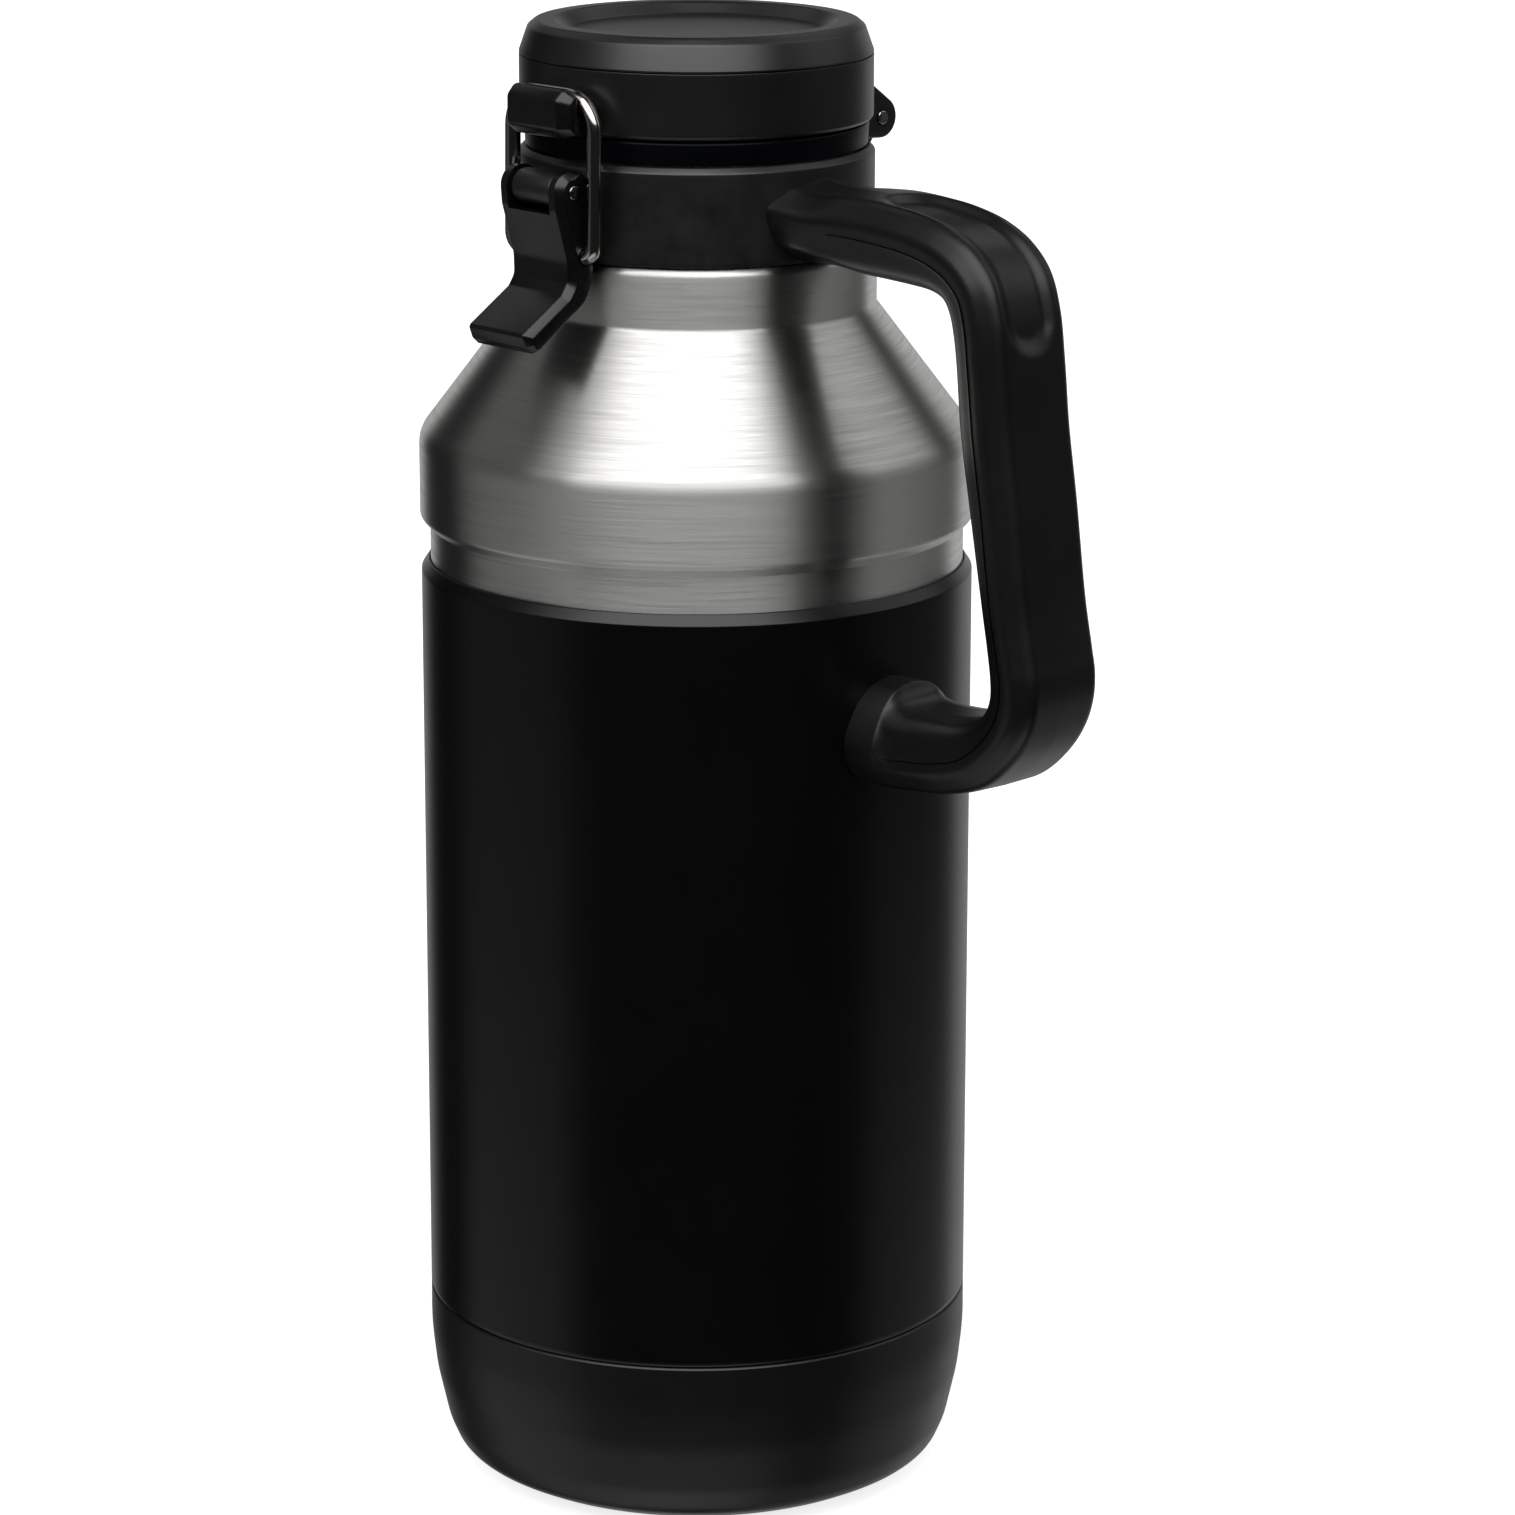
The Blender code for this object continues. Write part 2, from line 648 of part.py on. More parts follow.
HANDLE = (  # outer (x, z), inner (x, z), half-width, share of the root's shape
    ((33.0, 281.8), (33.0, 264.2), ROOT_HALF, 1.0),
    ((40.0, 281.0), (40.0, 264.7), 12.9, 0.8),
    ((47.0, 280.0), (47.0, 265.2), 11.8, 0.4),
    ((56.0, 280.0), (56.0, 265.4), GRIP_HALF, 0.0),
    ((66.0, 279.9), (65.0, 265.6), GRIP_HALF, 0.0),
    ((74.0, 278.8), (71.0, 265.6), GRIP_HALF, 0.0),
    ((80.2, 277.6), (76.0, 264.9), GRIP_HALF, 0.0),
    ((86.9, 274.3), (79.0, 263.0), GRIP_HALF, 0.0),
    ((92.2, 269.0), (80.7, 260.2), GRIP_HALF, 0.0),
    ((94.8, 261.2), (81.8, 256.0), GRIP_HALF, 0.0),
    ((96.4, 251.5), (82.8, 250.0), GRIP_HALF, 0.0),
    ((97.8, 238.8), (84.1, 238.0), GRIP_HALF, 0.0),
    ((100.2, 224.0), (86.4, 223.0), GRIP_HALF, 0.0),
    ((103.0, 204.5), (89.8, 204.0), GRIP_HALF, 0.0),
    ((105.0, 194.8), (91.8, 194.6), GRIP_HALF, 0.0),
    ((105.9, 190.0), (92.5, 190.2), GRIP_HALF, 0.0),
    ((105.5, 184.8), (92.6, 186.4), GRIP_HALF, 0.0),
    ((103.5, 179.3), (91.2, 183.2), GRIP_HALF, 0.0),
    ((99.5, 173.1), (88.2, 180.8), GRIP_HALF, 0.0),
    ((92.2, 167.0), (83.5, 179.4), GRIP_HALF, 0.0),
    ((82.0, 163.7), (77.0, 178.8), GRIP_HALF, 0.0),
    ((72.0, 162.3), (71.0, 178.5), GRIP_HALF, 0.0),
    ((60.0, 162.3), (60.0, 178.4), 11.4, 0.0),
)


def make_boss(cutters):
    """The arched flange at the handle's lower end, which stands against the sleeve."""
    arch = (
        (0, 0),
        (8.8, 0.3),
        (11.2, 1.9),
        (12.0, 5.0),
        (11.6, 8.6),
        (10.2, 13.0),
        (7.6, 17.4),
        (4.2, 19.9),
        (0, 20.8),
    )
    stations = (  # x, lowest height, share of the width, share of the height
        (53.0, 162.0, 1.0, 0.96),
        (63.3, 161.5, 0.98, 1.03),
        (64.1, 162.1, 0.93, 0.97),
    )
    rings = []
    for x, low, wide, tall in stations:
        half = [(x, y * wide, low + z * tall) for y, z in arch]
        rings.append(half + [(x, -y, z) for x, y, z in half[-2:0:-1]])
    return loft("boss", rings, cutters)


def along_handle(depth, from_inner=False):
    """A line along the hollow part of the handle, at a fixed depth below one of its faces."""
    line = []
    for outer, inner, _, _ in HANDLE[HOLLOW]:
        near, far = (inner, outer) if from_inner else (outer, inner)
        near, far = Vector(near), Vector(far)
        line.append(tuple(near + (far - near).normalized() * depth))
    return line


def inset_ends(line, by):
    """The same line with both ends moved away from the bottle."""
    (x0, z0), (x1, z1) = line[0], line[-1]
    return [(x0 + by, z0), *line[1:-1], (x1 + by, z1)]


def strip_outline(depth, spare):
    """The side view of the cover: its back follows the handle and its ends are upright."""
    back = inset_ends(along_handle(depth, from_inner=True), spare)
    return [*back, (back[-1][0], 222), (back[0][0], 222)]


def make_handle(parts, cutters):
    """A channel-section shell, open towards the fingers, and the cover that closes it."""
    rings = [handle_ring(*station) for station in HANDLE]
    shell = loft("handle_shell", rings, parts, "black_matte")
    collar_face = [(0, 255), (COLLAR_R + GAP, 255), (COLLAR_R + GAP, 290), (0, 290)]
    combine(shell, turned("collar_face", collar_face, cutters), "DIFFERENCE")
    combine(shell, make_boss(cutters), "UNION")
    sleeve_face = [(0, 150), (SLEEVE_R + GAP, 150), (SLEEVE_R + GAP, 192), (0, 192)]
    combine(shell, turned("sleeve_face", sleeve_face, cutters), "DIFFERENCE")
    combine(shell, bracket_space("handle_pocket", cutters), "DIFFERENCE")

    frame = Matrix(((1, 0, 0), (0, 0, -1), (0, 1, 0))).to_4x4()
    rebate = plate("cover_rebate", strip_outline(COVER_DEPTH, 0), 20, frame, cutters)
    combine(shell, rebate, "DIFFERENCE")
    hollow = inset_ends(along_handle(2.6), 1.5)
    hollow += inset_ends(along_handle(COVER_DEPTH - 1, from_inner=True), 1.5)[::-1]
    hollow = plate("handle_hollow", hollow, 7.2, frame, cutters)
    combine(shell, hollow, "DIFFERENCE", "MANIFOLD")

    narrow = [handle_ring(outer, inner, half - 0.4, root) for outer, inner, half, root in HANDLE]
    cover = loft("handle_cover", narrow, parts, "black_matte")
    strip = plate("cover_strip", strip_outline(COVER_DEPTH - GAP, GAP), 20, frame, cutters)
    combine(cover, strip, "INTERSECT")

    for where, z, tip, head in (
        ("upper", UPPER_SCREW_Z, 33.8, 59.4),
        ("lower", LOWER_SCREW_Z, 57.0, 74.9),
    ):
        for side, y in (("left", -SCREW_SPREAD), ("right", SCREW_SPREAD)):
            name = f"handle_screw_{where}_{side}"
            ends = (tip - 1, y, z), (head + 1, y, z)
            combine(shell, rod(f"{name}_bore", CLEAR_R, *ends, "X", cutters), "DIFFERENCE")
            screw(name, (tip, y, z), (head, y, z), parts, 2.4, 1.5, SHANK_R)
    settle(shell)
    settle(cover)


def hang(name, axis, side, children, parts, parent=None):
    """An empty on a joint's axis that carries the pieces which turn about it."""
    pivot = bpy.data.objects.new(name, None)
    parts.objects.link(pivot)
    pivot.location = (0, side * axis[0] * MM, axis[1] * MM)
    bpy.context.view_layer.update()
    if parent:
        children = [*children, pivot.name]
        pivot_parent = bpy.data.objects[parent]
        pivot.parent = pivot_parent
        pivot.matrix_parent_inverse = pivot_parent.matrix_world.inverted()
    for child in children:
        obj = bpy.data.objects[child]
        if obj is not pivot:
            obj.parent = pivot
            obj.matrix_parent_inverse = pivot.matrix_world.inverted()
    bpy.context.view_layer.update()


def assemble():
    clear_scene()
    parts = collection("growler")
    cutters = collection("cutters")
    cutters.hide_render = True
    make_shell(parts)
    make_liner(parts)
    make_vacuum_parts(parts)
    make_boot(parts)
    make_sleeve(parts, cutters)
    make_collar(parts, cutters)
    make_handle(parts, cutters)
    make_lid(parts, cutters)
    make_catch(parts, cutters)
    make_lever(parts, cutters)
    make_bail(parts)
    lid = ["lid_body", "lid_cap", "lid_foam", "lid_gasket", "lid_plug", "plug_foam", "latch_catch"]
    hang("lid_axis", LID_AXIS, 1, lid, parts)
    hang("lever_axis", LEVER_AXIS, -1, ["latch_lever"], parts)
    hang("bail_axis", BAIL_AXIS, -1, ["bail_wire"], parts, parent="lever_axis")


assemble()
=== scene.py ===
"""The looks of the growler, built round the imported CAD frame.

Lengths are in millimetres and angles in degrees, unless named otherwise. An outline is a list of
(radius, height) or (outward, up) points, and a third number rounds that corner to that radius.
"""

import math

import bmesh
import bpy
import numpy as np
from mathutils import Matrix, Vector


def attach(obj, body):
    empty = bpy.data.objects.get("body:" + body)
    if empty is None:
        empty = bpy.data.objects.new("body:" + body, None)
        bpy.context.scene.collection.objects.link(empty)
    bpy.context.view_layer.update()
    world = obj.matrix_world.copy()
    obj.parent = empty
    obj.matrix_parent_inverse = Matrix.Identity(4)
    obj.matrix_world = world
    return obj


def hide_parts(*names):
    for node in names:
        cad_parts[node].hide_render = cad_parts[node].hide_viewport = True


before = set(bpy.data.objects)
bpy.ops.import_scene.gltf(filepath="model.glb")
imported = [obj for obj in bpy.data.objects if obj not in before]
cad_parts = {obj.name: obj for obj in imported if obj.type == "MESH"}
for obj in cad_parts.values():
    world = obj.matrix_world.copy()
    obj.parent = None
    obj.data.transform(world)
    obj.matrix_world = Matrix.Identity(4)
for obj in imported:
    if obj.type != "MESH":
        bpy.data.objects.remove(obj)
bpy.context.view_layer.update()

MM = 0.001

# Axles along X as (outward, up): the hinge lies towards +Y, the latch and the wire towards -Y.
HINGE, LATCH, WIRE = (45.2, 286.2), (42.0, 279.6), (39.4, 266.4)
PIN_R = 1.45
STEEL_WALL = 0.8
LINER_R, LINER_BOTTOM = 50.3, 15.5  # the inner bottle, inside
MOUTH_R, RIM_Z = 31.1, 289.5  # the mouth's inner radius and the top of its rim
SLEEVE_R, COLLAR_R, LID_R = 57.4, 36.6, 36.25

# ---------------------------------------------------------------- outlines


def arc(centre, radius, start, end, steps):
    points = []
    for i in range(steps + 1):
        angle = math.radians(start + (end - start) * i / steps)
        points.append((centre[0] + radius * math.cos(angle), centre[1] + radius * math.sin(angle)))
    return points


def fillet(before, corner, after, radius, steps):
    """The points of a round corner."""
    here = Vector(corner)
    back = (Vector(before) - here).normalized()
    ahead = (Vector(after) - here).normalized()
    half = back.angle(ahead) / 2
    reach = radius / math.tan(half)
    middle = here + (back + ahead).normalized() * radius / math.sin(half)
    first = here + back * reach - middle
    turn = first.angle_signed(here + ahead * reach - middle)
    return [tuple(middle + Matrix.Rotation(-turn * i / steps, 2) @ first) for i in range(steps + 1)]


def rounded(corners, closed=False, steps=6):
    """An outline with its round corners cut into steps."""
    points = []
    count = len(corners)
    for i, corner in enumerate(corners):
        if len(corner) == 3 and (closed or 0 < i < count - 1):
            before, after = corners[i - 1][:2], corners[(i + 1) % count][:2]
            points += fillet(before, corner[:2], after, corner[2], steps)
        else:
            points.append(tuple(corner[:2]))
    return points


# ---------------------------------------------------------------- meshes


def helper(name, work):
    """A plain object made of a bmesh, which it frees."""
    bmesh.ops.recalc_face_normals(work, faces=work.faces)
    mesh = bpy.data.meshes.new(name)
    work.to_mesh(mesh)
    work.free()
    obj = bpy.data.objects.new(name, mesh)
    bpy.context.scene.collection.objects.link(obj)
    return obj


def lathe(work, outline, sides):
    """Adds a closed solid of revolution about Z."""
    rings = []
    for r, z in outline:
        if r < 1e-6:
            rings.append([work.verts.new((0, 0, z * MM))])
            continue
        rings.append(
            [
                work.verts.new((r * MM * math.cos(a), r * MM * math.sin(a), z * MM))
                for a in (2 * math.pi * i / sides for i in range(sides))
            ]
        )
    pairs = list(zip(rings, rings[1:]))
    if outline[0][0] > 1e-6:
        pairs.append((rings[-1], rings[0]))
    for one, two in pairs:
        for i in range(sides):
            j = (i + 1) % sides
            face = [one[i % len(one)], one[j % len(one)], two[j % len(two)], two[i % len(two)]]
            face = list(dict.fromkeys(face))
            if len(face) > 2:
                work.faces.new(face)


def loft(work, rings):
    """Adds a solid through rings with the same number of points."""
    rows = [[work.verts.new(Vector(p) * MM) for p in ring] for ring in rings]
    count = len(rows[0])
    for here, ahead in zip(rows, rows[1:]):
        for i in range(count):
            j = (i + 1) % count
            work.faces.new((here[i], here[j], ahead[j], ahead[i]))
    work.faces.new(rows[0][::-1])
    work.faces.new(rows[-1])


def extruded(name, outline, half, side, shift=0.0):
    """A side view (outward, up), thickened both ways along X, towards -Y (side -1) or +Y."""
    work = bmesh.new()
    rings = []
    for x in (shift - half, shift + half):
        rings.append([work.verts.new((x * MM, side * out * MM, up * MM)) for out, up in outline])
    count = len(outline)
    for i in range(count):
        j = (i + 1) % count
        work.faces.new((rings[0][i], rings[0][j], rings[1][j], rings[1][i]))
    work.faces.new(rings[0][::-1])
    work.faces.new(rings[1])
    return helper(name, work)


def lathe_helper(name, outline, sides):
    work = bmesh.new()
    lathe(work, outline, sides)
    return helper(name, work)


def rod_helper(name, radius, axle, side, length, sides=40):
    """A rod along X round an axle (outward, up), towards -Y (side -1) or +Y."""
    work = bmesh.new()
    centre = Vector((0, side * axle[0], axle[1])) * MM
    place = Matrix.Translation(centre) @ Matrix.Rotation(math.pi / 2, 4, "Y")
    bmesh.ops.create_cone(
        work,
        cap_ends=True,
        segments=sides,
        radius1=radius * MM,
        radius2=radius * MM,
        depth=length * MM,
        matrix=place,
    )
    return helper(name, work)


def box_helper(name, low, high):
    work = bmesh.new()
    low, high = Vector(low) * MM, Vector(high) * MM
    bmesh.ops.create_cube(work, size=1)
    bmesh.ops.scale(work, vec=high - low, verts=work.verts)
    bmesh.ops.translate(work, vec=(low + high) / 2, verts=work.verts)
    return helper(name, work)


def evaluated(obj):
    bpy.context.view_layer.update()
    graph = bpy.context.evaluated_depsgraph_get()
    return bpy.data.meshes.new_from_object(obj.evaluated_get(graph))


def boolean(obj, tools):
    """Applies (operation, helper) pairs in turn and removes the helpers."""
    for operation, tool in tools:
        step = obj.modifiers.new("cut", "BOOLEAN")
        step.operation = operation
        step.solver = "EXACT"
        step.object = tool
        mesh = evaluated(obj)
        obj.modifiers.clear()
        obj.data = mesh
        bpy.data.objects.remove(tool)


def bevelled(obj, width, segments, angle):
    """The object, with every edge sharper than the angle bevelled."""
    step = obj.modifiers.new("bevel", "BEVEL")
    step.width = width * MM
    step.segments = segments
    step.limit_method = "ANGLE"
    step.angle_limit = math.radians(angle)
    step.harden_normals = False
    mesh = evaluated(obj)
    obj.modifiers.clear()
    obj.data = mesh
    return obj


def placed(obj, body, node, look, angle=30):
    """Finishes a piece: it rides on its body, stands for its CAD node and gets its look."""
    obj.data.name = obj.name
    obj.data.shade_smooth()
    obj.data.set_sharp_from_angle(angle=math.radians(angle))
    obj.data.materials.clear()
    obj.data.materials.append(LOOKS[look])
    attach(obj, body)
    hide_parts(node)


def turned(name, outline, body, node, look, sides=160):
    """A finished piece that is round about Z."""
    work = bmesh.new()
    lathe(work, outline, sides)
    bmesh.ops.remove_doubles(work, verts=work.verts, dist=1e-7)
    placed(helper(name, work), body, node, look)


# ---------------------------------------------------------------- materials


class Nodes:
    """A short way to write a material's node tree."""

    def __init__(self, name):
        self.material = bpy.data.materials.new(name)
        self.material.use_nodes = True
        self.tree = self.material.node_tree
        self.shader = self.tree.nodes["Principled BSDF"]
        self.coords = self.tree.nodes.new("ShaderNodeTexCoord").outputs["Object"]

    def node(self, kind, **values):
        """A new node: in_Some_Input sets a socket, and any other name sets a property."""
        made = self.tree.nodes.new(kind)
        for key, value in values.items():
            if key.startswith("in_"):
                self.put(made.inputs[key[3:].replace("_", " ")], value)
            else:
                setattr(made, key, value)
        return made

    def put(self, socket, value):
        if isinstance(value, bpy.types.NodeSocket):
            self.tree.links.new(value, socket)
        else:
            socket.default_value = value

    def math(self, operation, *values):
        made = self.node("ShaderNodeMath", operation=operation)
        for socket, value in zip(made.inputs, values):
            self.put(socket, value)
        return made.outputs[0]

    def noise(self, scale, detail, rough, vector=None):
        made = self.node(
            "ShaderNodeTexNoise", in_Scale=scale, in_Detail=detail, in_Roughness=rough
        )
        self.put(made.inputs["Vector"], vector or self.coords)
        return made.outputs["Fac"]

    def span(self, value, low, high, from_low, from_high):
        """The value, mapped so that from_low gives low and from_high gives high."""
        made = self.node("ShaderNodeMapRange")
        self.put(made.inputs["Value"], value)
        for key, number in (
            ("From Min", from_low),
            ("From Max", from_high),
            ("To Min", low),
            ("To Max", high),
        ):
            made.inputs[key].default_value = number
        return made.outputs["Result"]

    def shades(self, pattern, color, start, end, low, high):
        """The base colour runs from one share of the colour to another, as gloss() does."""
        made = self.node("ShaderNodeMix", data_type="RGBA")
        factor, first, second = (made.inputs[i] for i in (0, 6, 7))
        self.put(factor, self.span(pattern, 0, 1, low, high))
        self.put(first, (*(min(1, c * start) for c in color), 1))
        self.put(second, (*(min(1, c * end) for c in color), 1))
        self.put(self.shader.inputs["Base Color"], made.outputs[2])

    def gloss(self, pattern, start, end, low, high):
        """The roughness runs from start, where the pattern is low, to end, where it is high."""
        self.put(self.shader.inputs["Roughness"], self.span(pattern, start, end, low, high))

    def bump(self, height, strength, distance):
        """The height in the pattern, with the distance in metres."""
        made = self.node("ShaderNodeBump", in_Strength=strength, in_Distance=distance)
        self.put(made.inputs["Height"], height)
        self.put(self.shader.inputs["Normal"], made.outputs["Normal"])

    def set(self, **values):
        for key, value in values.items():
            self.put(self.shader.inputs[key.replace("_", " ")], value)
        return self.material


def black_plastic(name, color, rough, level, spread, grain, fine, mottle, lift):
    """Moulded black plastic: fine spark texture, slow mottling in colour and gloss."""
    n = Nodes(name)
    slow = n.noise(mottle, 4.0, 0.6)
    texture = n.noise(fine / 6, 3.0, 0.6)
    n.shades(slow, color, 1.0, lift, 0.35, 0.65)
    mixed = n.math("ADD", n.math("MULTIPLY", slow, 0.6), n.math("MULTIPLY", texture, 0.4))
    n.gloss(mixed, rough - spread, rough + spread, 0.3, 0.7)
    n.bump(n.noise(fine, 2.0, 0.7), grain, 0.00002)
    return n.set(Metallic=0.0, Specular_IOR_Level=level)


def brushed_steel(name, color, rough, anisotropy):
    """Steel brushed round the Z axis: streaks that follow the circumference."""
    n = Nodes(name)
    parts = n.node("ShaderNodeSeparateXYZ")
    n.put(parts.inputs[0], n.coords)
    x, y, z = parts.outputs
    angle = n.math("ARCTAN2", y, x)
    radius = n.math("SQRT", n.math("ADD", n.math("MULTIPLY", x, x), n.math("MULTIPLY", y, y)))
    slope = n.math("SUBTRACT", z, n.math("MULTIPLY", radius, 0.8))

    def lines(around, along, detail, rough):
        """Noise drawn out round the axis: how fast it changes around it, and along the outline."""
        vector = n.node("ShaderNodeCombineXYZ")
        n.put(vector.inputs[0], n.math("MULTIPLY", n.math("COSINE", angle), around))
        n.put(vector.inputs[1], n.math("MULTIPLY", n.math("SINE", angle), around))
        n.put(vector.inputs[2], n.math("MULTIPLY", slope, along))
        return n.noise(1.0, detail, rough, vector.outputs[0])

    streaks = lines(2.2, 2600.0, 3.0, 0.65)
    bands = lines(1.4, 900.0, 4.0, 0.6)
    both = n.math("ADD", n.math("MULTIPLY", streaks, 0.6), n.math("MULTIPLY", bands, 0.4))
    n.shades(both, color, 0.86, 1.08, 0.35, 0.65)
    n.gloss(both, rough + 0.06, rough - 0.05, 0.35, 0.65)
    n.bump(streaks, 0.16, 0.000015)
    tangent = n.node("ShaderNodeTangent", direction_type="RADIAL", axis="Z")
    n.put(n.shader.inputs["Tangent"], tangent.outputs[0])
    return n.set(Metallic=1.0, Anisotropic=anisotropy, Anisotropic_Rotation=0.25)


def polished_metal(name, color, rough):
    n = Nodes(name)
    wear = n.noise(900.0, 3.0, 0.6)
    n.shades(wear, color, 1.0, 0.85, 0.4, 0.7)
    n.gloss(wear, rough - 0.03, rough + 0.08, 0.3, 0.75)
    n.bump(n.noise(3000.0, 2.0, 0.5), 0.08, 0.00001)
    return n.set(Metallic=1.0)


def soft_stuff(name, color, rough, scale, grain):
    """Foam and silicone: fine cells in colour, gloss and height."""
    n = Nodes(name)
    cells = n.noise(scale, 5.0, 0.65)
    n.shades(cells, color, 1.0, 0.8, 0.3, 0.7)
    n.gloss(cells, rough - 0.08, rough + 0.08, 0.3, 0.7)
    n.bump(cells, grain, 0.0001)
    return n.set(Metallic=0.0)


# look: name, colour, roughness, specular level, roughness spread, strength and scale of the
# grain, scale of the mottling, and how much lighter the mottling's light patches are
BLACKS = {
    "sleeve": ("sleeve_coat", (0.0010, 0.0010, 0.0012), 0.30, 0.50, 0.02, 0.10, 5000, 40, 1.15),
    "boot": ("boot_rubber", (0.0016, 0.0016, 0.0018), 0.40, 0.60, 0.03, 0.12, 6000, 50, 1.2),
    "collar": ("collar_plastic", (0.0036, 0.0034, 0.0032), 0.40, 0.82, 0.06, 0.30, 4500, 120, 1.7),
    "plastic": ("black_plastic", (0.0036, 0.0036, 0.0038), 0.37, 0.78, 0.03, 0.15, 7000, 70, 1.25),
    "handle": ("handle_plastic", (0.0039, 0.0036, 0.0034), 0.35, 0.50, 0.05, 0.20, 7000, 60, 1.35),
    "gloss": ("latch_plastic", (0.0028, 0.0028, 0.0028), 0.27, 0.52, 0.05, 0.12, 6000, 150, 1.3),
    "ring": ("pour_ring_plastic", (0.0010, 0.0013, 0.0024), 0.36, 0.12, 0.04, 0.10, 6000, 80, 1.3),
}
LOOKS = {look: black_plastic(*values) for look, values in BLACKS.items()}
LOOKS |= {
    "steel": brushed_steel("brushed_steel", (0.66, 0.655, 0.64), 0.35, 0.93),
    "inner": brushed_steel("inner_steel", (0.58, 0.575, 0.56), 0.36, 0.5),
    "wire": polished_metal("polished_steel", (0.5, 0.465, 0.44), 0.12),
    "silicone": soft_stuff("grey_silicone", (0.3, 0.3, 0.3), 0.5, 1500.0, 0.1),
    "foam": soft_stuff("insulating_foam", (0.75, 0.73, 0.66), 0.85, 900.0, 0.5),
}


# ---------------------------------------------------------------- the bottle


def make_body():
    # Points close above and below a chamfer keep the shading of the long straight face level.
    sleeve = [
        (57.0, 39.3),
        (57.25, 39.4),
        (SLEEVE_R, 39.7),
        (SLEEVE_R, 40.4),
        (SLEEVE_R, 120.0),
        (SLEEVE_R, 195.4),
        (SLEEVE_R, 196.2, 0.7),
        (56.0, 198.3, 0.6),
        (55.8, 198.4),
        (55.8, 39.3),
    ]
    turned("sleeve", rounded(sleeve), "bottle", "body_sleeve", "sleeve", 240)

    boot = [
        (0, 2.6),
        (38.1, 2.6),
        (38.4, 0.4),
        (39.0, 0.0),
        (41.5, 0.0, 3.0),
        (46.6, 1.9, 14.0),
        (51.8, 4.7, 6.0),
        (54.0, 9.8, 16.0),
        (56.4, 20.5, 40.0),
        (57.45, 30.0, 60.0),
        (57.4, 37.8),
        (57.4, 38.6),
        (57.25, 38.85),
        (57.0, 39.0),
        (55.8, 39.0),
        (55.8, 27.5),
        (53.55, 15.7),
        (51.6, 8.4),
        (49.6, 4.5),
        (0, 4.5),
    ]
    turned("boot", rounded(boot), "bottle", "base_boot", "boot", 240)
    pad = [(0, 0.15), (30.0, 0.15, 0.5), (31.0, 0.0, 0.5), (37.4, 0.0, 0.3), (37.4, 2.2), (0, 2.2)]
    turned("pad", rounded(pad), "bottle", "foot_pad", "boot", 128)

    shell = [
        (55.5, 197.0),
        (55.5, 205.8, 0.3),
        (57.6, 207.8, 1.6),
        (57.6, 210.5),
        (57.6, 224.9, 7.0),
        (53.8, 229.9),
        (38.6, 250.0),
        (37.15, 251.9, 1.6),
        (37.15, 254.2),
        (37.15, 261.8),
        (37.15, 264.2, 1.6),
        (35.4, 264.2),
        (33.0, 264.2),
        (33.0, 288.4),
        (32.2, 288.4),
        (32.2, 263.0),
        (36.3, 263.0),
        (36.3, 252.3),
        (56.5, 225.4, 10.0),
        (56.5, 209.0),
        (54.7, 206.0),
        (54.7, 28.0),
        (52.4, 16.0),
        (50.2, 9.0),
        (51.0, 9.0),
        (53.2, 16.0),
        (55.5, 28.0),
    ]
    turned("shell", rounded(shell, steps=8), "bottle", "outer_shell", "steel", 256)


def make_mouth():
    """What shows when the lid is open: the inner bottle, the lid's seal and the plug."""
    skin, lining = [
        [
            (0, LINER_BOTTOM - wall),
            (LINER_R + wall, LINER_BOTTOM - wall, 8.2 + wall),
            (LINER_R + wall, 225.6 + wall / 2, 9.0),
            (MOUTH_R + wall, 250.7 + wall / 2, 4.0),
            (MOUTH_R + wall, RIM_Z - 0.8 - wall / 8),
        ]
        for wall in (STEEL_WALL, 0)
    ]
    rim = [
        (32.8, RIM_Z - 0.8),
        (33.0, RIM_Z - 0.6),
        (33.0, RIM_Z - 0.3),
        (32.7, RIM_Z),
        (31.3, RIM_Z),
    ]
    liner = rounded(skin) + rim + rounded(lining)[::-1]
    turned("liner", liner, "bottle", "inner_liner", "inner")
    seal = [(30.5, 289.8), (34.7, 289.8), (34.7, 291.5), (30.5, 291.5)]
    turned("seal", seal, "lid", "lid_gasket", "silicone")
    plug = [
        (0, 275.5),
        (27.9, 275.5, 0.6),
        (29.3, 276.9, 0.8),
        (29.9, 289.7),
        (27.7, 289.7),
        (27.3, 277.7),
        (0, 277.7),
    ]
    turned("plug", rounded(plug), "lid", "lid_plug", "plastic")


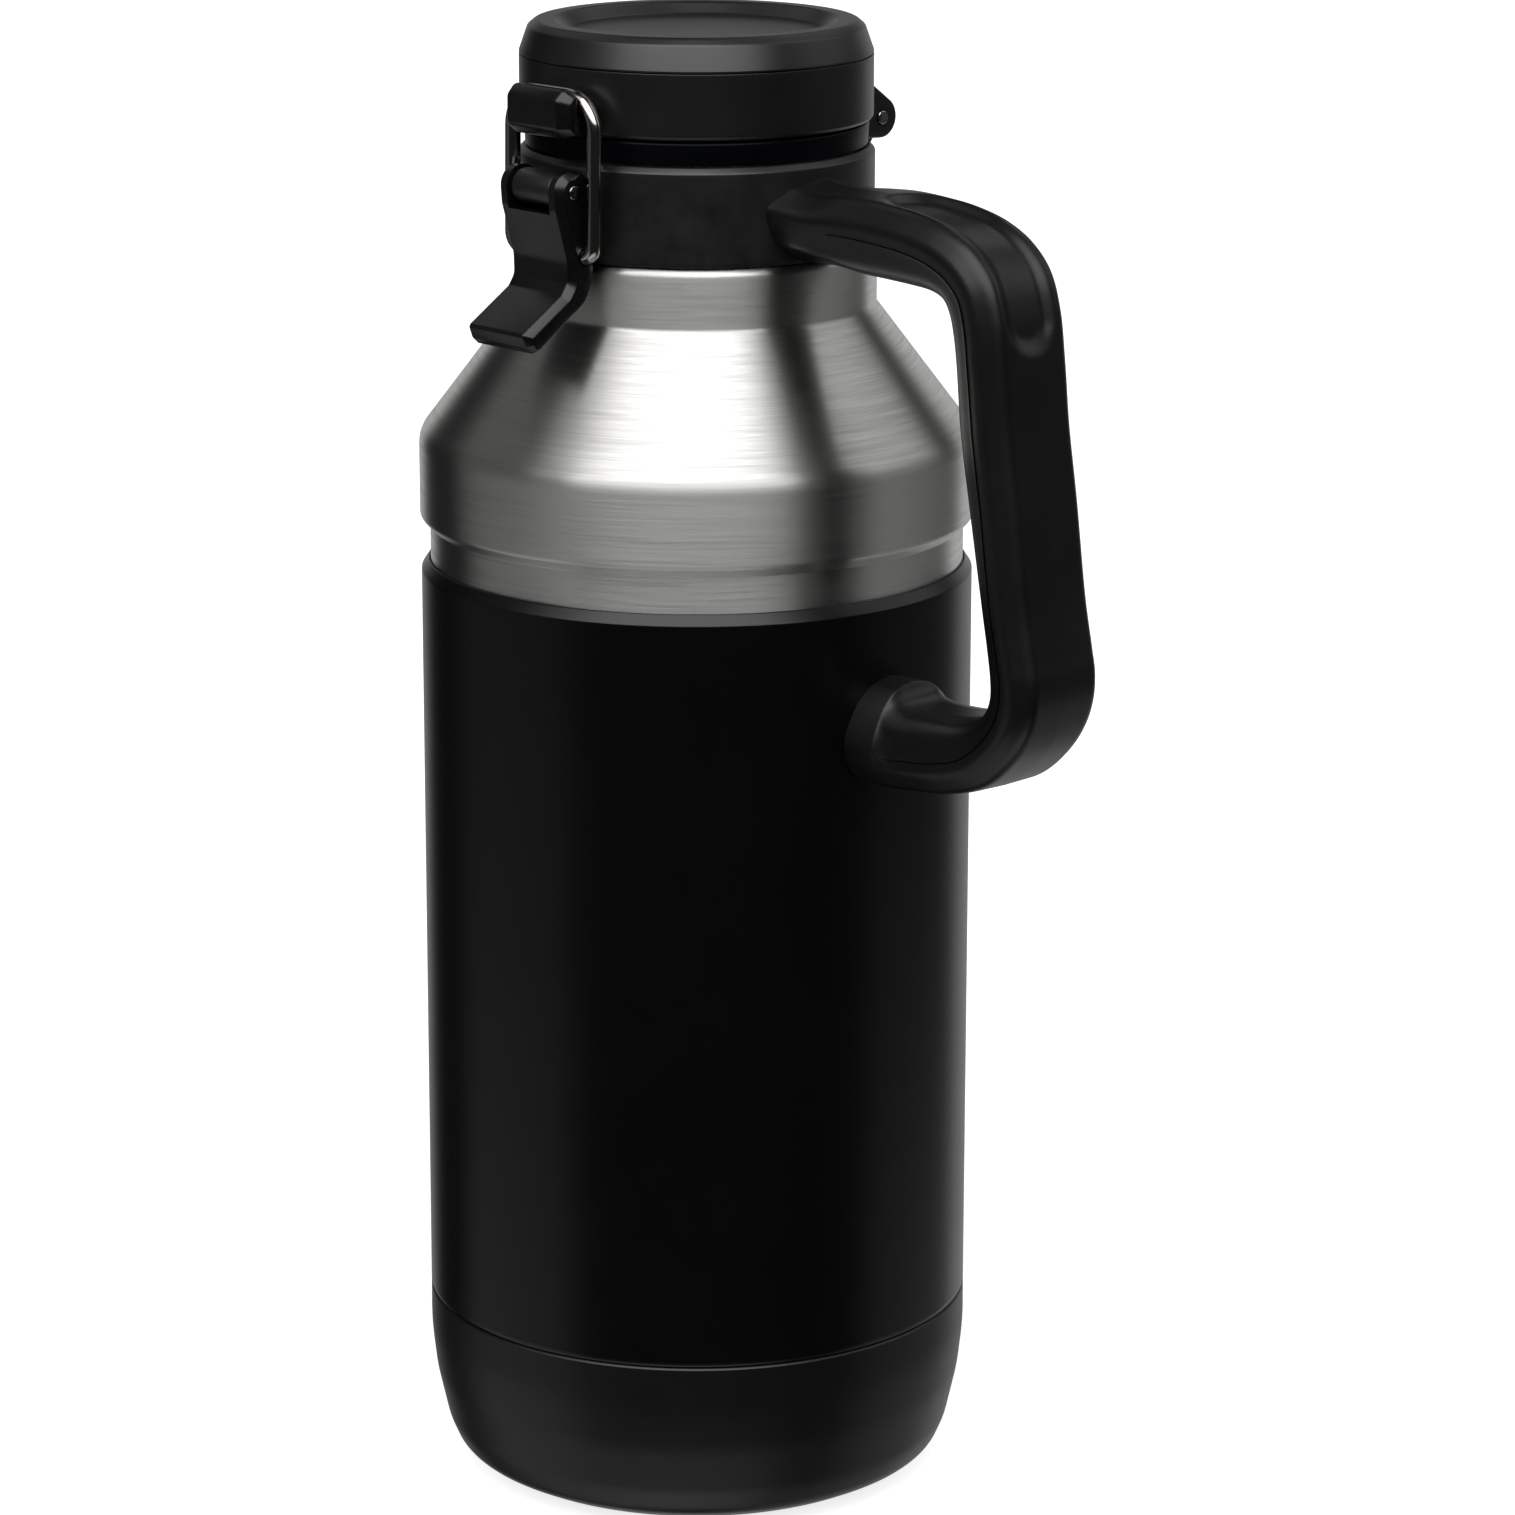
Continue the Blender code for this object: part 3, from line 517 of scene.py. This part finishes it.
def make_collar():
    ring = [
        (33.3, 264.5),
        (36.35, 264.5),
        (36.55, 264.6),
        (COLLAR_R, 264.8),
        (COLLAR_R, 265.6),
        (COLLAR_R, 282.4),
        (COLLAR_R, 283.4, 0.7),
        (35.5, 284.5, 0.5),
        (34.4, 284.5, 0.3),
        (34.2, 284.1),
        (33.3, 284.1),
    ]
    collar = lathe_helper("collar", rounded(ring, steps=5), 192)
    hinge = [
        (34.5, 268.0),
        (34.5, 283.0),
        (37.2, 284.2),
        *arc(HINGE, 4.0, 152, -60, 20),
        (36.4, 268.0),
    ]
    latch = [(34.5, 271.0), (34.5, 283.0), *arc(LATCH, 3.6, 112, -108, 20)]
    bore = [(0, 262), (33.3, 262), (33.3, 284.1), (0, 284.1)]
    tools = [
        ("UNION", bevelled(extruded("hinge_knuckle", hinge, 4.9, 1), 0.35, 2, 60)),
        ("UNION", bevelled(extruded("latch_knuckle", latch, 6.0, -1), 0.8, 3, 60)),
        ("DIFFERENCE", lathe_helper("bore", bore, 192)),
        ("DIFFERENCE", rod_helper("hinge_hole", 1.7, HINGE, 1, 30)),
        ("DIFFERENCE", rod_helper("latch_hole", 1.7, LATCH, -1, 30)),
    ]
    boolean(collar, tools)
    placed(collar, "bottle", "neck_collar", "collar", 35)

    pour = [
        (33.3, 284.8),
        (34.9, 284.8),
        (35.1, 285.0),
        (35.2, 287.0),
        (35.4, 289.5, 0.6),
        (33.3, 289.5, 0.4),
    ]
    turned("pour_ring", rounded(pour, True, 4), "bottle", "pour_ring", "ring")
    for node, axle, side, reach in (("hinge_pin", HINGE, 1, 8.9), ("latch_pin", LATCH, -1, 9.75)):
        pin = rod_helper(f"{node}_steel", PIN_R, axle, side, 2 * reach, 48)
        bevelled(pin, 0.25, 3, 40)
        placed(pin, "bottle", node, "wire", 40)


# ---------------------------------------------------------------- handle

# From the collar to the sleeve: outer (x, z), inner (x, z), half-width, share of the root's section
HANDLE = (
    ((33.0, 281.9), (33.0, 264.0), 13.4, 1.0),
    ((38.0, 281.4), (38.0, 264.4), 13.2, 0.92),
    ((43.0, 280.5), (43.0, 264.8), 12.8, 0.65),
    ((49.0, 280.4), (49.0, 264.7), 12.2, 0.28),
    ((56.0, 280.4), (55.5, 264.4), 11.9, 0.05),
    ((64.0, 280.0), (63.0, 264.2), 11.8, 0.0),
    ((72.0, 279.2), (70.0, 263.9), 11.8, 0.0),
    ((80.2, 277.3), (75.5, 263.4), 11.8, 0.0),
    ((86.9, 274.0), (79.0, 262.0), 11.8, 0.0),
    ((92.0, 268.9), (80.5, 259.4), 11.8, 0.0),
    ((94.9, 261.3), (81.4, 255.6), 11.8, 0.0),
    ((96.4, 251.5), (82.2, 250.0), 11.8, 0.0),
    ((97.8, 238.8), (83.4, 238.0), 11.8, 0.0),
    ((100.2, 224.0), (86.1, 223.0), 11.8, 0.0),
    ((103.0, 204.5), (89.8, 204.0), 11.8, 0.0),
    ((105.0, 194.8), (91.6, 194.6), 11.8, 0.0),
    ((105.9, 190.0), (92.3, 190.0), 11.8, 0.0),
    ((105.6, 184.7), (92.4, 186.2), 11.8, 0.0),
    ((103.7, 179.1), (91.0, 182.8), 11.8, 0.0),
    ((99.5, 173.1), (88.0, 180.6), 11.8, 0.0),
    ((92.2, 167.0), (83.5, 179.3), 11.8, 0.0),
    ((82.0, 163.6), (77.0, 178.7), 11.8, 0.0),
    ((72.0, 162.3), (70.0, 178.4), 11.8, 0.0),
    ((64.0, 161.7), (64.0, 178.4), 11.8, 0.0),
    ((58.0, 162.0), (58.0, 178.4), 11.8, 0.0),
    ((53.0, 162.8), (53.0, 178.4), 11.8, 0.0),
)


def spline(rows, steps):
    """Centripetal Catmull-Rom through rows of numbers, with the same number of steps per span."""
    rows = np.array(rows, float)
    rows = np.vstack([2 * rows[0] - rows[1], rows, 2 * rows[-1] - rows[-2]])
    out = []
    for four in zip(rows, rows[1:], rows[2:], rows[3:]):
        knots = [0.0]
        for a, b in zip(four, four[1:]):
            knots.append(knots[-1] + max(np.linalg.norm(b - a), 1e-6) ** 0.5)
        for t in np.linspace(knots[1], knots[2], steps, endpoint=False):
            level = list(four)
            for spans in (((0, 1), (1, 2), (2, 3)), ((0, 2), (1, 3)), ((1, 2),)):
                level = [
                    ((knots[j] - t) * a + (t - knots[i]) * b) / (knots[j] - knots[i])
                    for (i, j), a, b in zip(spans, level, level[1:])
                ]
            out.append(level[0])
    out.append(rows[-2])
    return np.array(out)


def side_line(corners, spans):
    """A rounded open line with a fixed number of points, so that rings match."""
    line = rounded(corners)
    out = []
    for i, (a, b) in enumerate(zip(line, line[1:])):
        count = spans.get(i, 1)
        out += [
            (a[0] + (b[0] - a[0]) * k / count, a[1] + (b[1] - a[1]) * k / count)
            for k in range(count)
        ]
    out.append(line[-1])
    return out


def section(deep, half, root, seam):
    """Half of one section as (depth, half-width), from the outer face to the inner one."""
    grip = [
        (0.0, 0.0),
        (0.2, 9.0, 3.2),
        (4.6, half, 3.4),
        (seam, half - 0.5),
        (seam + 0.4, half - 0.6),
        (deep - 1.2, half - 1.8, 4.6),
        (deep, 4.0, 7.0),
        (deep, 0.0),
    ]
    wide = [
        (0.0, 0.0),
        (0.11 * deep, 0.58 * half, 6.0),
        (0.30 * deep, half, 2.2),
        (0.48 * deep, 0.95 * half),
        (0.50 * deep, 0.945 * half),
        (0.72 * deep, 0.83 * half, 4.0),
        (0.97 * deep, 0.38 * half, 5.0),
        (deep, 0.0),
    ]
    spans = {0: 16, 7: 3, 14: 3, 16: 3, 23: 2, 30: 8}  # steps that each long stretch is cut into
    one, two = side_line(grip, spans), side_line(wide, spans)
    return [
        (a[0] + (b[0] - a[0]) * root, a[1] + (b[1] - a[1]) * root) for a, b in zip(one, two)
    ]


# The thumb scoop: where it starts and ends along the handle, half-width, soft edge and depth
SCOOP = {"start": 57.0, "end": 112.0, "half": 7.6, "edge": 3.8, "deep": 1.4}
OUTER_POINTS = 24  # points of a half section that the scoop may press in


def scoop_depth(along, across):
    middle = min(max(along, SCOOP["start"] + SCOOP["half"]), SCOOP["end"] - SCOOP["half"])
    away = math.hypot(along - middle, across)
    share = min(max((SCOOP["half"] - away) / SCOOP["edge"], 0), 1)
    return SCOOP["deep"] * share * share * (3 - 2 * share)


COVER_FROM, COVER_FADE = 50.0, 18.0  # where the seam starts, and how long it takes to open fully
SEAM_TOP, SEAM_BOTTOM = 7.8, 6.8  # depth of the seam below the outer face, at both ends
SEAM_GAP, SEAM_STEP = 0.2, 0.12  # the open seam's width, and how far the cover stands back


def handle_rings(part):
    """Rings of the shell or of the cover, with the thumb scoop pressed into the shell."""
    rings = []
    stations = spline([(*outer, *inner, half, root) for outer, inner, half, root in HANDLE], 9)
    steps = [math.hypot(b[0] - a[0], b[1] - a[1]) for a, b in zip(stations, stations[1:])]
    along = np.concatenate([[0.0], np.cumsum(steps)]) + stations[0][0]
    for i, (ox, oz, ix, iz, half, root) in enumerate(stations):
        travelled = along[i]
        covered = COVER_FROM < travelled
        opened = min(max((travelled - COVER_FROM) / COVER_FADE, 0), 1)
        deep = math.hypot(ix - ox, iz - oz)
        ux, uz = (ix - ox) / deep, (iz - oz) / deep
        seam = SEAM_TOP + (SEAM_BOTTOM - SEAM_TOP) * (travelled - along[0]) / (along[-1] - along[0])
        side = []
        for k, (depth, across) in enumerate(section(deep, half, root, seam)):
            if part == "shell":
                if covered:
                    depth = min(depth, seam)
                if k < OUTER_POINTS:
                    depth += scoop_depth(travelled, across)
            else:
                depth = max(depth, seam + SEAM_GAP * opened)
                across = max(across - SEAM_STEP * opened, 0)
            side.append((ox + ux * depth, across, oz + uz * depth))
        if part == "shell" or i + 1 < len(along) and COVER_FROM < along[i + 1]:
            rings.append(side + [(x, -y, z) for x, y, z in side[-2:0:-1]])
    return rings


# Half outlines (across, up from BOSS_LOW): the flange at the sleeve, and the arm that leaves it
BOSS_LOW = 161.5
ARCH = (
    (0, 0.9),
    (8.4, 1.1),
    (10.2, 2.6),
    (11.5, 5.0),
    (11.8, 6.8),
    (12.0, 8.6),
    (11.0, 12.2),
    (8.4, 17.0),
    (4.5, 20.1),
    (0, 21.1),
)
ARM = (
    (0, 1.2),
    (7.8, 1.4),
    (9.6, 2.3),
    (11.3, 4.6),
    (11.6, 6.2),
    (11.0, 7.6),
    (10.6, 10.8),
    (9.3, 14.8),
    (6.0, 16.5),
    (0, 16.8),
)
BOSS = (  # x, share of the arm's outline
    (53.0, 0.0),
    (63.7, 0.0),
    (64.0, 0.02),
    (64.2, 0.1),
    (64.4, 0.26),
    (64.9, 0.5),
    (65.8, 0.72),
    (67.2, 0.88),
    (69.0, 0.97),
    (71.0, 1.0),
)


def make_boss():
    """The flange against the sleeve, which runs into the lower arm in a hollow curve."""
    work = bmesh.new()
    rings = []
    for x, arm in BOSS:
        line = spline(np.array(ARCH) * (1 - arm) + np.array(ARM) * arm, 5)
        ring = [(x, y, BOSS_LOW + z) for y, z in line]
        rings.append(ring + [(x, -y, z) for x, y, z in ring[-2:0:-1]])
    loft(work, rings)
    return helper("boss", work)


def make_handle():
    work = bmesh.new()
    loft(work, handle_rings("shell"))
    shell = helper("handle", work)
    face = lathe_helper("collar_face", [(0, 255), (36.75, 255), (36.75, 295), (0, 295)], 192)
    sleeve = lathe_helper("sleeve_face", [(0, 150), (57.5, 150), (57.5, 195), (0, 195)], 240)
    boolean(shell, [("DIFFERENCE", face), ("UNION", make_boss()), ("DIFFERENCE", sleeve)])
    placed(shell, "bottle", "handle_shell", "handle", 40)
    work = bmesh.new()
    loft(work, handle_rings("cover"))
    cover = helper("handle_strip", work)
    placed(cover, "bottle", "handle_cover", "handle", 40)


# ---------------------------------------------------------------- lid and latch


def make_lid():
    body = [
        (0, 290.0),
        (30.2, 290.0),
        (30.2, 291.8),
        (35.0, 291.8),
        (35.0, 290.0),
        (35.75, 290.0, 0.2),
        (LID_R, 290.6, 0.6),
        (LID_R, 291.6),
        (LID_R, 302.6),
        (LID_R, 303.15, 0.12),
        (35.6, 303.25),
        (33.2, 303.1),
        (33.2, 294.0),
        (0, 294.0),
    ]
    obj = lathe_helper("lid_side", rounded(body, steps=4), 192)
    ear = [
        (34.6, 299.2),
        (34.6, 291.0),
        (37.3, 291.0),
        (37.3, 282.4, 1.2),
        *arc(HINGE, 4.3, -92, 50, 14),
    ]
    tools = []
    for side in (-1, 1):
        piece = extruded(f"ear{side}", rounded(ear, True, 4), 1.7, 1, shift=side * 6.8)
        tools.append(("UNION", bevelled(piece, 0.5, 3, 50)))
    tools.append(("DIFFERENCE", rod_helper("hole", 1.65, HINGE, 1, 30)))
    inside = [(0, 294.0), (33.2, 294.0), (33.2, 303.2), (0, 303.2)]
    tools.append(("DIFFERENCE", lathe_helper("inside", inside, 192)))
    boolean(obj, tools)
    placed(obj, "lid", "lid_body", "plastic", 35)

    cap = [
        (0, 304.6),
        (30.6, 304.6),
        (30.6, 300.2),
        (32.9, 300.2),
        (32.9, 303.5),
        (36.2, 303.4, 0.1),
        (LID_R, 303.7, 0.3),
        (34.5, 308.7, 1.2),
        (32.9, 310.0, 1.8),
        (28.7, 310.0, 2.2),
        (25.9, 307.7, 1.4),
        (0, 307.7),
    ]
    outline = rounded(cap, steps=8)
    turned("lid_top", outline, "lid", "lid_cap", "plastic", 192)


def make_catch():
    middle = [
        (35.5, 290.0),
        (42.6, 290.0),
        (44.9, 292.1),
        (44.9, 298.0),
        (43.0, 300.0),
        (41.3, 300.0),
        (41.2, 295.9),
        (36.9, 295.9),
        (36.9, 297.8),
        (35.5, 297.8),
    ]
    end = [
        (35.5, 290.9),
        (41.6, 290.9),
        (43.0, 292.4),
        (42.8, 297.2),
        (41.8, 298.4),
        (40.9, 298.4),
        (40.8, 293.9),
        (37.0, 293.9),
        (37.0, 295.9),
        (35.5, 295.9),
    ]
    rings = []
    for x, outline in ((-9.5, end), (-7.3, middle), (7.3, middle), (9.5, end)):
        rings.append([(x, -out, up) for out, up in outline])
    work = bmesh.new()
    loft(work, rings)
    obj = bevelled(helper("catch", work), 0.6, 4, 20)
    face = lathe_helper("lid_face", [(0, 280), (36.4, 280), (36.4, 312), (0, 312)], 192)
    boolean(obj, [("DIFFERENCE", face)])
    placed(obj, "lid", "latch_catch", "gloss", 35)


def drawn_in(corners, distance):
    """A closed outline's corners (out, up, radius, share), each moved in by its share."""
    points = [Vector(corner[:2]) for corner in corners]
    area = sum(a.x * b.y - a.y * b.x for a, b in zip(points, points[1:] + points[:1]))
    inward = 1 if area > 0 else -1
    moved = []
    for i, (out, up, radius, share) in enumerate(corners):
        before = (points[i] - points[i - 1]).normalized()
        after = (points[(i + 1) % len(points)] - points[i]).normalized()
        side = Vector((-before.y, before.x)) * inward
        normal = (side + Vector((-after.y, after.x)) * inward).normalized()
        step = distance * share
        place = points[i] + normal * step / max(normal.dot(side), 0.5)
        if not radius:
            moved.append(tuple(place))
            continue
        convex = (before.x * after.y - before.y * after.x) * inward > 0
        moved.append((*place, max(radius - step, 0.35) if convex else radius + step))
    return moved


def make_lever():
    eye = arc(LATCH, 4.2, 200, -5, 18)
    corners = [(out, up, 0.0, min(max((i - 7) / 3, 0), 1)) for i, (out, up) in enumerate(eye)]
    corners += [
        (45.9, 276.0, 2.0, 1.0),
        (45.0, 273.0, 3.0, 1.0),
        (42.9, 265.5, 8.0, 1.0),
        (42.8, 261.4, 2.5, 1.0),
        (44.3, 259.2, 2.0, 1.0),
        (55.1, 252.3, 0.9, 1.0),
        (54.0, 249.6, 0.7, 0.8),
        (52.4, 248.2, 0.7, 0.5),
        (51.0, 248.8, 0.8, 0.3),
        (39.3, 257.4, 4.0, 0.0),
        (37.3, 261.5, 3.0, 0.0),
        (37.2, 266.0, 3.0, 0.0),
        (37.4, 275.5, 1.5, 0.0),
    ]
    rings = []
    for x, inset in ((-9.6, 1.5), (-8.1, 0.0), (8.1, 0.0), (9.6, 1.5)):
        outline = rounded(drawn_in(corners, inset), True, 4)
        rings.append([(x, -out, up) for out, up in outline])
    work = bmesh.new()
    loft(work, rings)
    obj = bevelled(helper("lever", work), 0.3, 3, 32)
    tools = [
        ("DIFFERENCE", box_helper("slot", (-6.3, -60, 275.2), (6.3, -30, 290))),
        ("DIFFERENCE", box_helper("relief", (-6.3, -40.9, 259.5), (6.3, -30, 276))),
        ("DIFFERENCE", rod_helper("pin_hole", 1.6, LATCH, -1, 30)),
        ("DIFFERENCE", rod_helper("wire_hole", 1.8, WIRE, -1, 30)),
    ]
    boolean(obj, tools)
    placed(obj, "lever", "latch_lever", "gloss", 35)


def make_bail():
    (low_out, low), (high_out, high) = WIRE, (39.0, 298.3)
    half = [(6.9, low), (12.3, low, 3.0), (12.3, high, 7.5), (0, high)]
    right = rounded(half, False, 10)[:-1]
    loop = right + [(-x, z) for x, z in right[::-1]]
    curve = bpy.data.curves.new("bail", "CURVE")
    curve.dimensions = "3D"
    curve.bevel_depth = 1.6 * MM
    curve.bevel_resolution = 8
    curve.use_fill_caps = True
    row = curve.splines.new("POLY")
    row.points.add(len(loop) - 1)
    for point, (x, z) in zip(row.points, loop):
        out = low_out + (high_out - low_out) * (z - low) / (high - low)
        point.co = (x * MM, -out * MM, z * MM, 1)
    obj = bpy.data.objects.new("bail_curve", curve)
    bpy.context.scene.collection.objects.link(obj)
    mesh = evaluated(obj)
    bpy.data.objects.remove(obj)
    solid = bpy.data.objects.new("bail", mesh)
    bpy.context.scene.collection.objects.link(solid)
    placed(solid, "bail", "bail_wire", "wire", 40)


# ---------------------------------------------------------------- stage

# The camera stands at an azimuth, towards +X from -Y, and looks down by the pitch. The lens is in
# millimetres on a 36 mm sensor.
AZIMUTH, DISTANCE, EYE_HEIGHT = 47.0, 1105.9, 445.7
PITCH, YAW, ROLL = 14.764, 0.66, 0.122
LENS, SENSOR = 128.83, 36.0


def make_camera():
    data = bpy.data.cameras.new("camera")
    data.lens = LENS
    data.sensor_width = SENSOR
    data.clip_end = 50.0
    camera = bpy.data.objects.new("camera", data)
    bpy.context.scene.collection.objects.link(camera)
    a = math.radians(AZIMUTH)
    turn = (
        Matrix.Rotation(math.radians(AZIMUTH - YAW), 4, "Z")
        @ Matrix.Rotation(math.radians(90 - PITCH), 4, "X")
        @ Matrix.Rotation(math.radians(ROLL), 4, "Z")
    )
    place = Vector((DISTANCE * math.sin(a), -DISTANCE * math.cos(a), EYE_HEIGHT)) * MM
    camera.matrix_world = Matrix.Translation(place) @ turn
    bpy.context.scene.camera = camera


# Soft boxes of the studio: middle azimuth from the camera (positive to its right), half-width,
# lowest and highest elevation, edge softness and brightness.
BOXES = (
    (-6.0, 52.0, 23.0, 88.0, 5.0, 3.5),
    (-69.0, 11.0, 30.0, 75.0, 6.0, 1.3),
    (-86.0, 30.0, -16.0, 60.0, 5.0, 0.09),
    (-86.0, 30.0, -80.0, -20.0, 8.0, 0.5),
    (101.0, 24.0, 15.0, 62.0, 8.0, 0.8),
    (153.0, 14.0, 32.0, 64.0, 10.0, 0.8),
    (-146.0, 18.0, 30.0, 62.0, 10.0, 0.42),
    (112.0, 34.0, -16.0, 15.0, 8.0, 0.06),
    (112.0, 34.0, -80.0, -20.0, 8.0, 0.35),
    (172.5, 33.5, -60.0, 15.5, 14.0, 0.65),
    (-6.0, 52.0, -80.0, -48.0, 14.0, 0.95),
)
AMBIENT = 0.02


def make_world():
    """A white backdrop for the camera, and a dark studio with soft boxes for everything else."""
    world = bpy.data.worlds.new("studio")
    bpy.context.scene.world = world
    world.use_nodes = True
    tree = world.node_tree
    tree.nodes.clear()
    link = tree.links.new

    def calc(operation, *values):
        made = tree.nodes.new("ShaderNodeMath")
        made.operation = operation
        for i, value in enumerate(values):
            if isinstance(value, bpy.types.NodeSocket):
                link(value, made.inputs[i])
            else:
                made.inputs[i].default_value = value
        return made.outputs[0]

    def ramp(value, low, high):
        made = tree.nodes.new("ShaderNodeMapRange")
        made.interpolation_type = "SMOOTHSTEP"
        link(value, made.inputs["Value"])
        made.inputs["From Min"].default_value = low
        made.inputs["From Max"].default_value = high
        return made.outputs["Result"]

    coords = tree.nodes.new("ShaderNodeTexCoord").outputs["Generated"]
    parts = tree.nodes.new("ShaderNodeSeparateXYZ")
    link(coords, parts.inputs[0])
    x, y, z = parts.outputs
    # The direction towards the camera is (sin A, -cos A); azimuth grows to the camera's right.
    a = math.radians(AZIMUTH)
    front = calc("SUBTRACT", calc("MULTIPLY", x, math.sin(a)), calc("MULTIPLY", y, math.cos(a)))
    right = calc("ADD", calc("MULTIPLY", x, math.cos(a)), calc("MULTIPLY", y, math.sin(a)))
    azimuth = calc("MULTIPLY", calc("ARCTAN2", right, front), 180 / math.pi)
    elevation = calc("MULTIPLY", calc("ARCSINE", z), 180 / math.pi)
    total = None
    for middle, half, low, high, soft, power in BOXES:
        turn = calc("ABSOLUTE", calc("WRAP", calc("SUBTRACT", azimuth, middle), 180.0, -180.0))
        across = calc("SUBTRACT", 1.0, ramp(turn, half - soft / 2, half + soft / 2))
        above = ramp(elevation, low - soft / 2, low + soft / 2)
        below = calc("SUBTRACT", 1.0, ramp(elevation, high - soft / 2, high + soft / 2))
        light = calc("MULTIPLY", calc("MULTIPLY", across, calc("MULTIPLY", above, below)), power)
        total = light if total is None else calc("ADD", total, light)
    studio = tree.nodes.new("ShaderNodeBackground")
    link(calc("ADD", total, AMBIENT), studio.inputs["Strength"])
    plain = tree.nodes.new("ShaderNodeBackground")
    plain.inputs["Strength"].default_value = 1.0
    path = tree.nodes.new("ShaderNodeLightPath")
    mix = tree.nodes.new("ShaderNodeMixShader")
    link(path.outputs["Is Camera Ray"], mix.inputs[0])
    link(studio.outputs[0], mix.inputs[1])
    link(plain.outputs[0], mix.inputs[2])
    out = tree.nodes.new("ShaderNodeOutputWorld")
    link(mix.outputs[0], out.inputs["Surface"])


def make_floor():
    """A white floor that shows a faint contact shadow and isn't reflected in the object."""
    work = bmesh.new()
    bmesh.ops.create_circle(work, cap_ends=True, segments=96, radius=12000 * MM)
    floor = helper("floor", work)
    floor.location.z = -0.2 * MM
    floor.visible_glossy = False
    floor.visible_diffuse = False
    floor.visible_transmission = False
    material = bpy.data.materials.new("floor")
    material.use_nodes = True
    tree = material.node_tree
    tree.nodes.clear()
    glow = tree.nodes.new("ShaderNodeEmission")
    glow.inputs["Strength"].default_value = 0.8
    matte = tree.nodes.new("ShaderNodeBsdfDiffuse")
    matte.inputs["Color"].default_value = (0.6, 0.6, 0.6, 1)
    add = tree.nodes.new("ShaderNodeAddShader")
    out = tree.nodes.new("ShaderNodeOutputMaterial")
    tree.links.new(glow.outputs[0], add.inputs[0])
    tree.links.new(matte.outputs[0], add.inputs[1])
    tree.links.new(add.outputs[0], out.inputs["Surface"])
    floor.data.materials.append(material)


def paint_hidden():
    """The CAD nodes that stay as they are: hidden steel, foam, seals and screws."""
    for node, look in (
        ("shell_base", "inner"),
        ("vacuum_seal_cap", "inner"),
        ("getter_ring", "inner"),
        ("handle_bracket", "inner"),
        ("handle_screw_upper_left", "wire"),
        ("handle_screw_upper_right", "wire"),
        ("handle_screw_lower_left", "wire"),
        ("handle_screw_lower_right", "wire"),
        ("lid_foam", "foam"),
        ("plug_foam", "foam"),
    ):
        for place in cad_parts[node].material_slots:
            place.material = LOOKS[look]


make_body()
make_mouth()
make_collar()
make_handle()
make_lid()
make_catch()
make_lever()
make_bail()
paint_hidden()
make_camera()
make_world()
make_floor()
bpy.context.scene.view_settings.view_transform = "Standard"
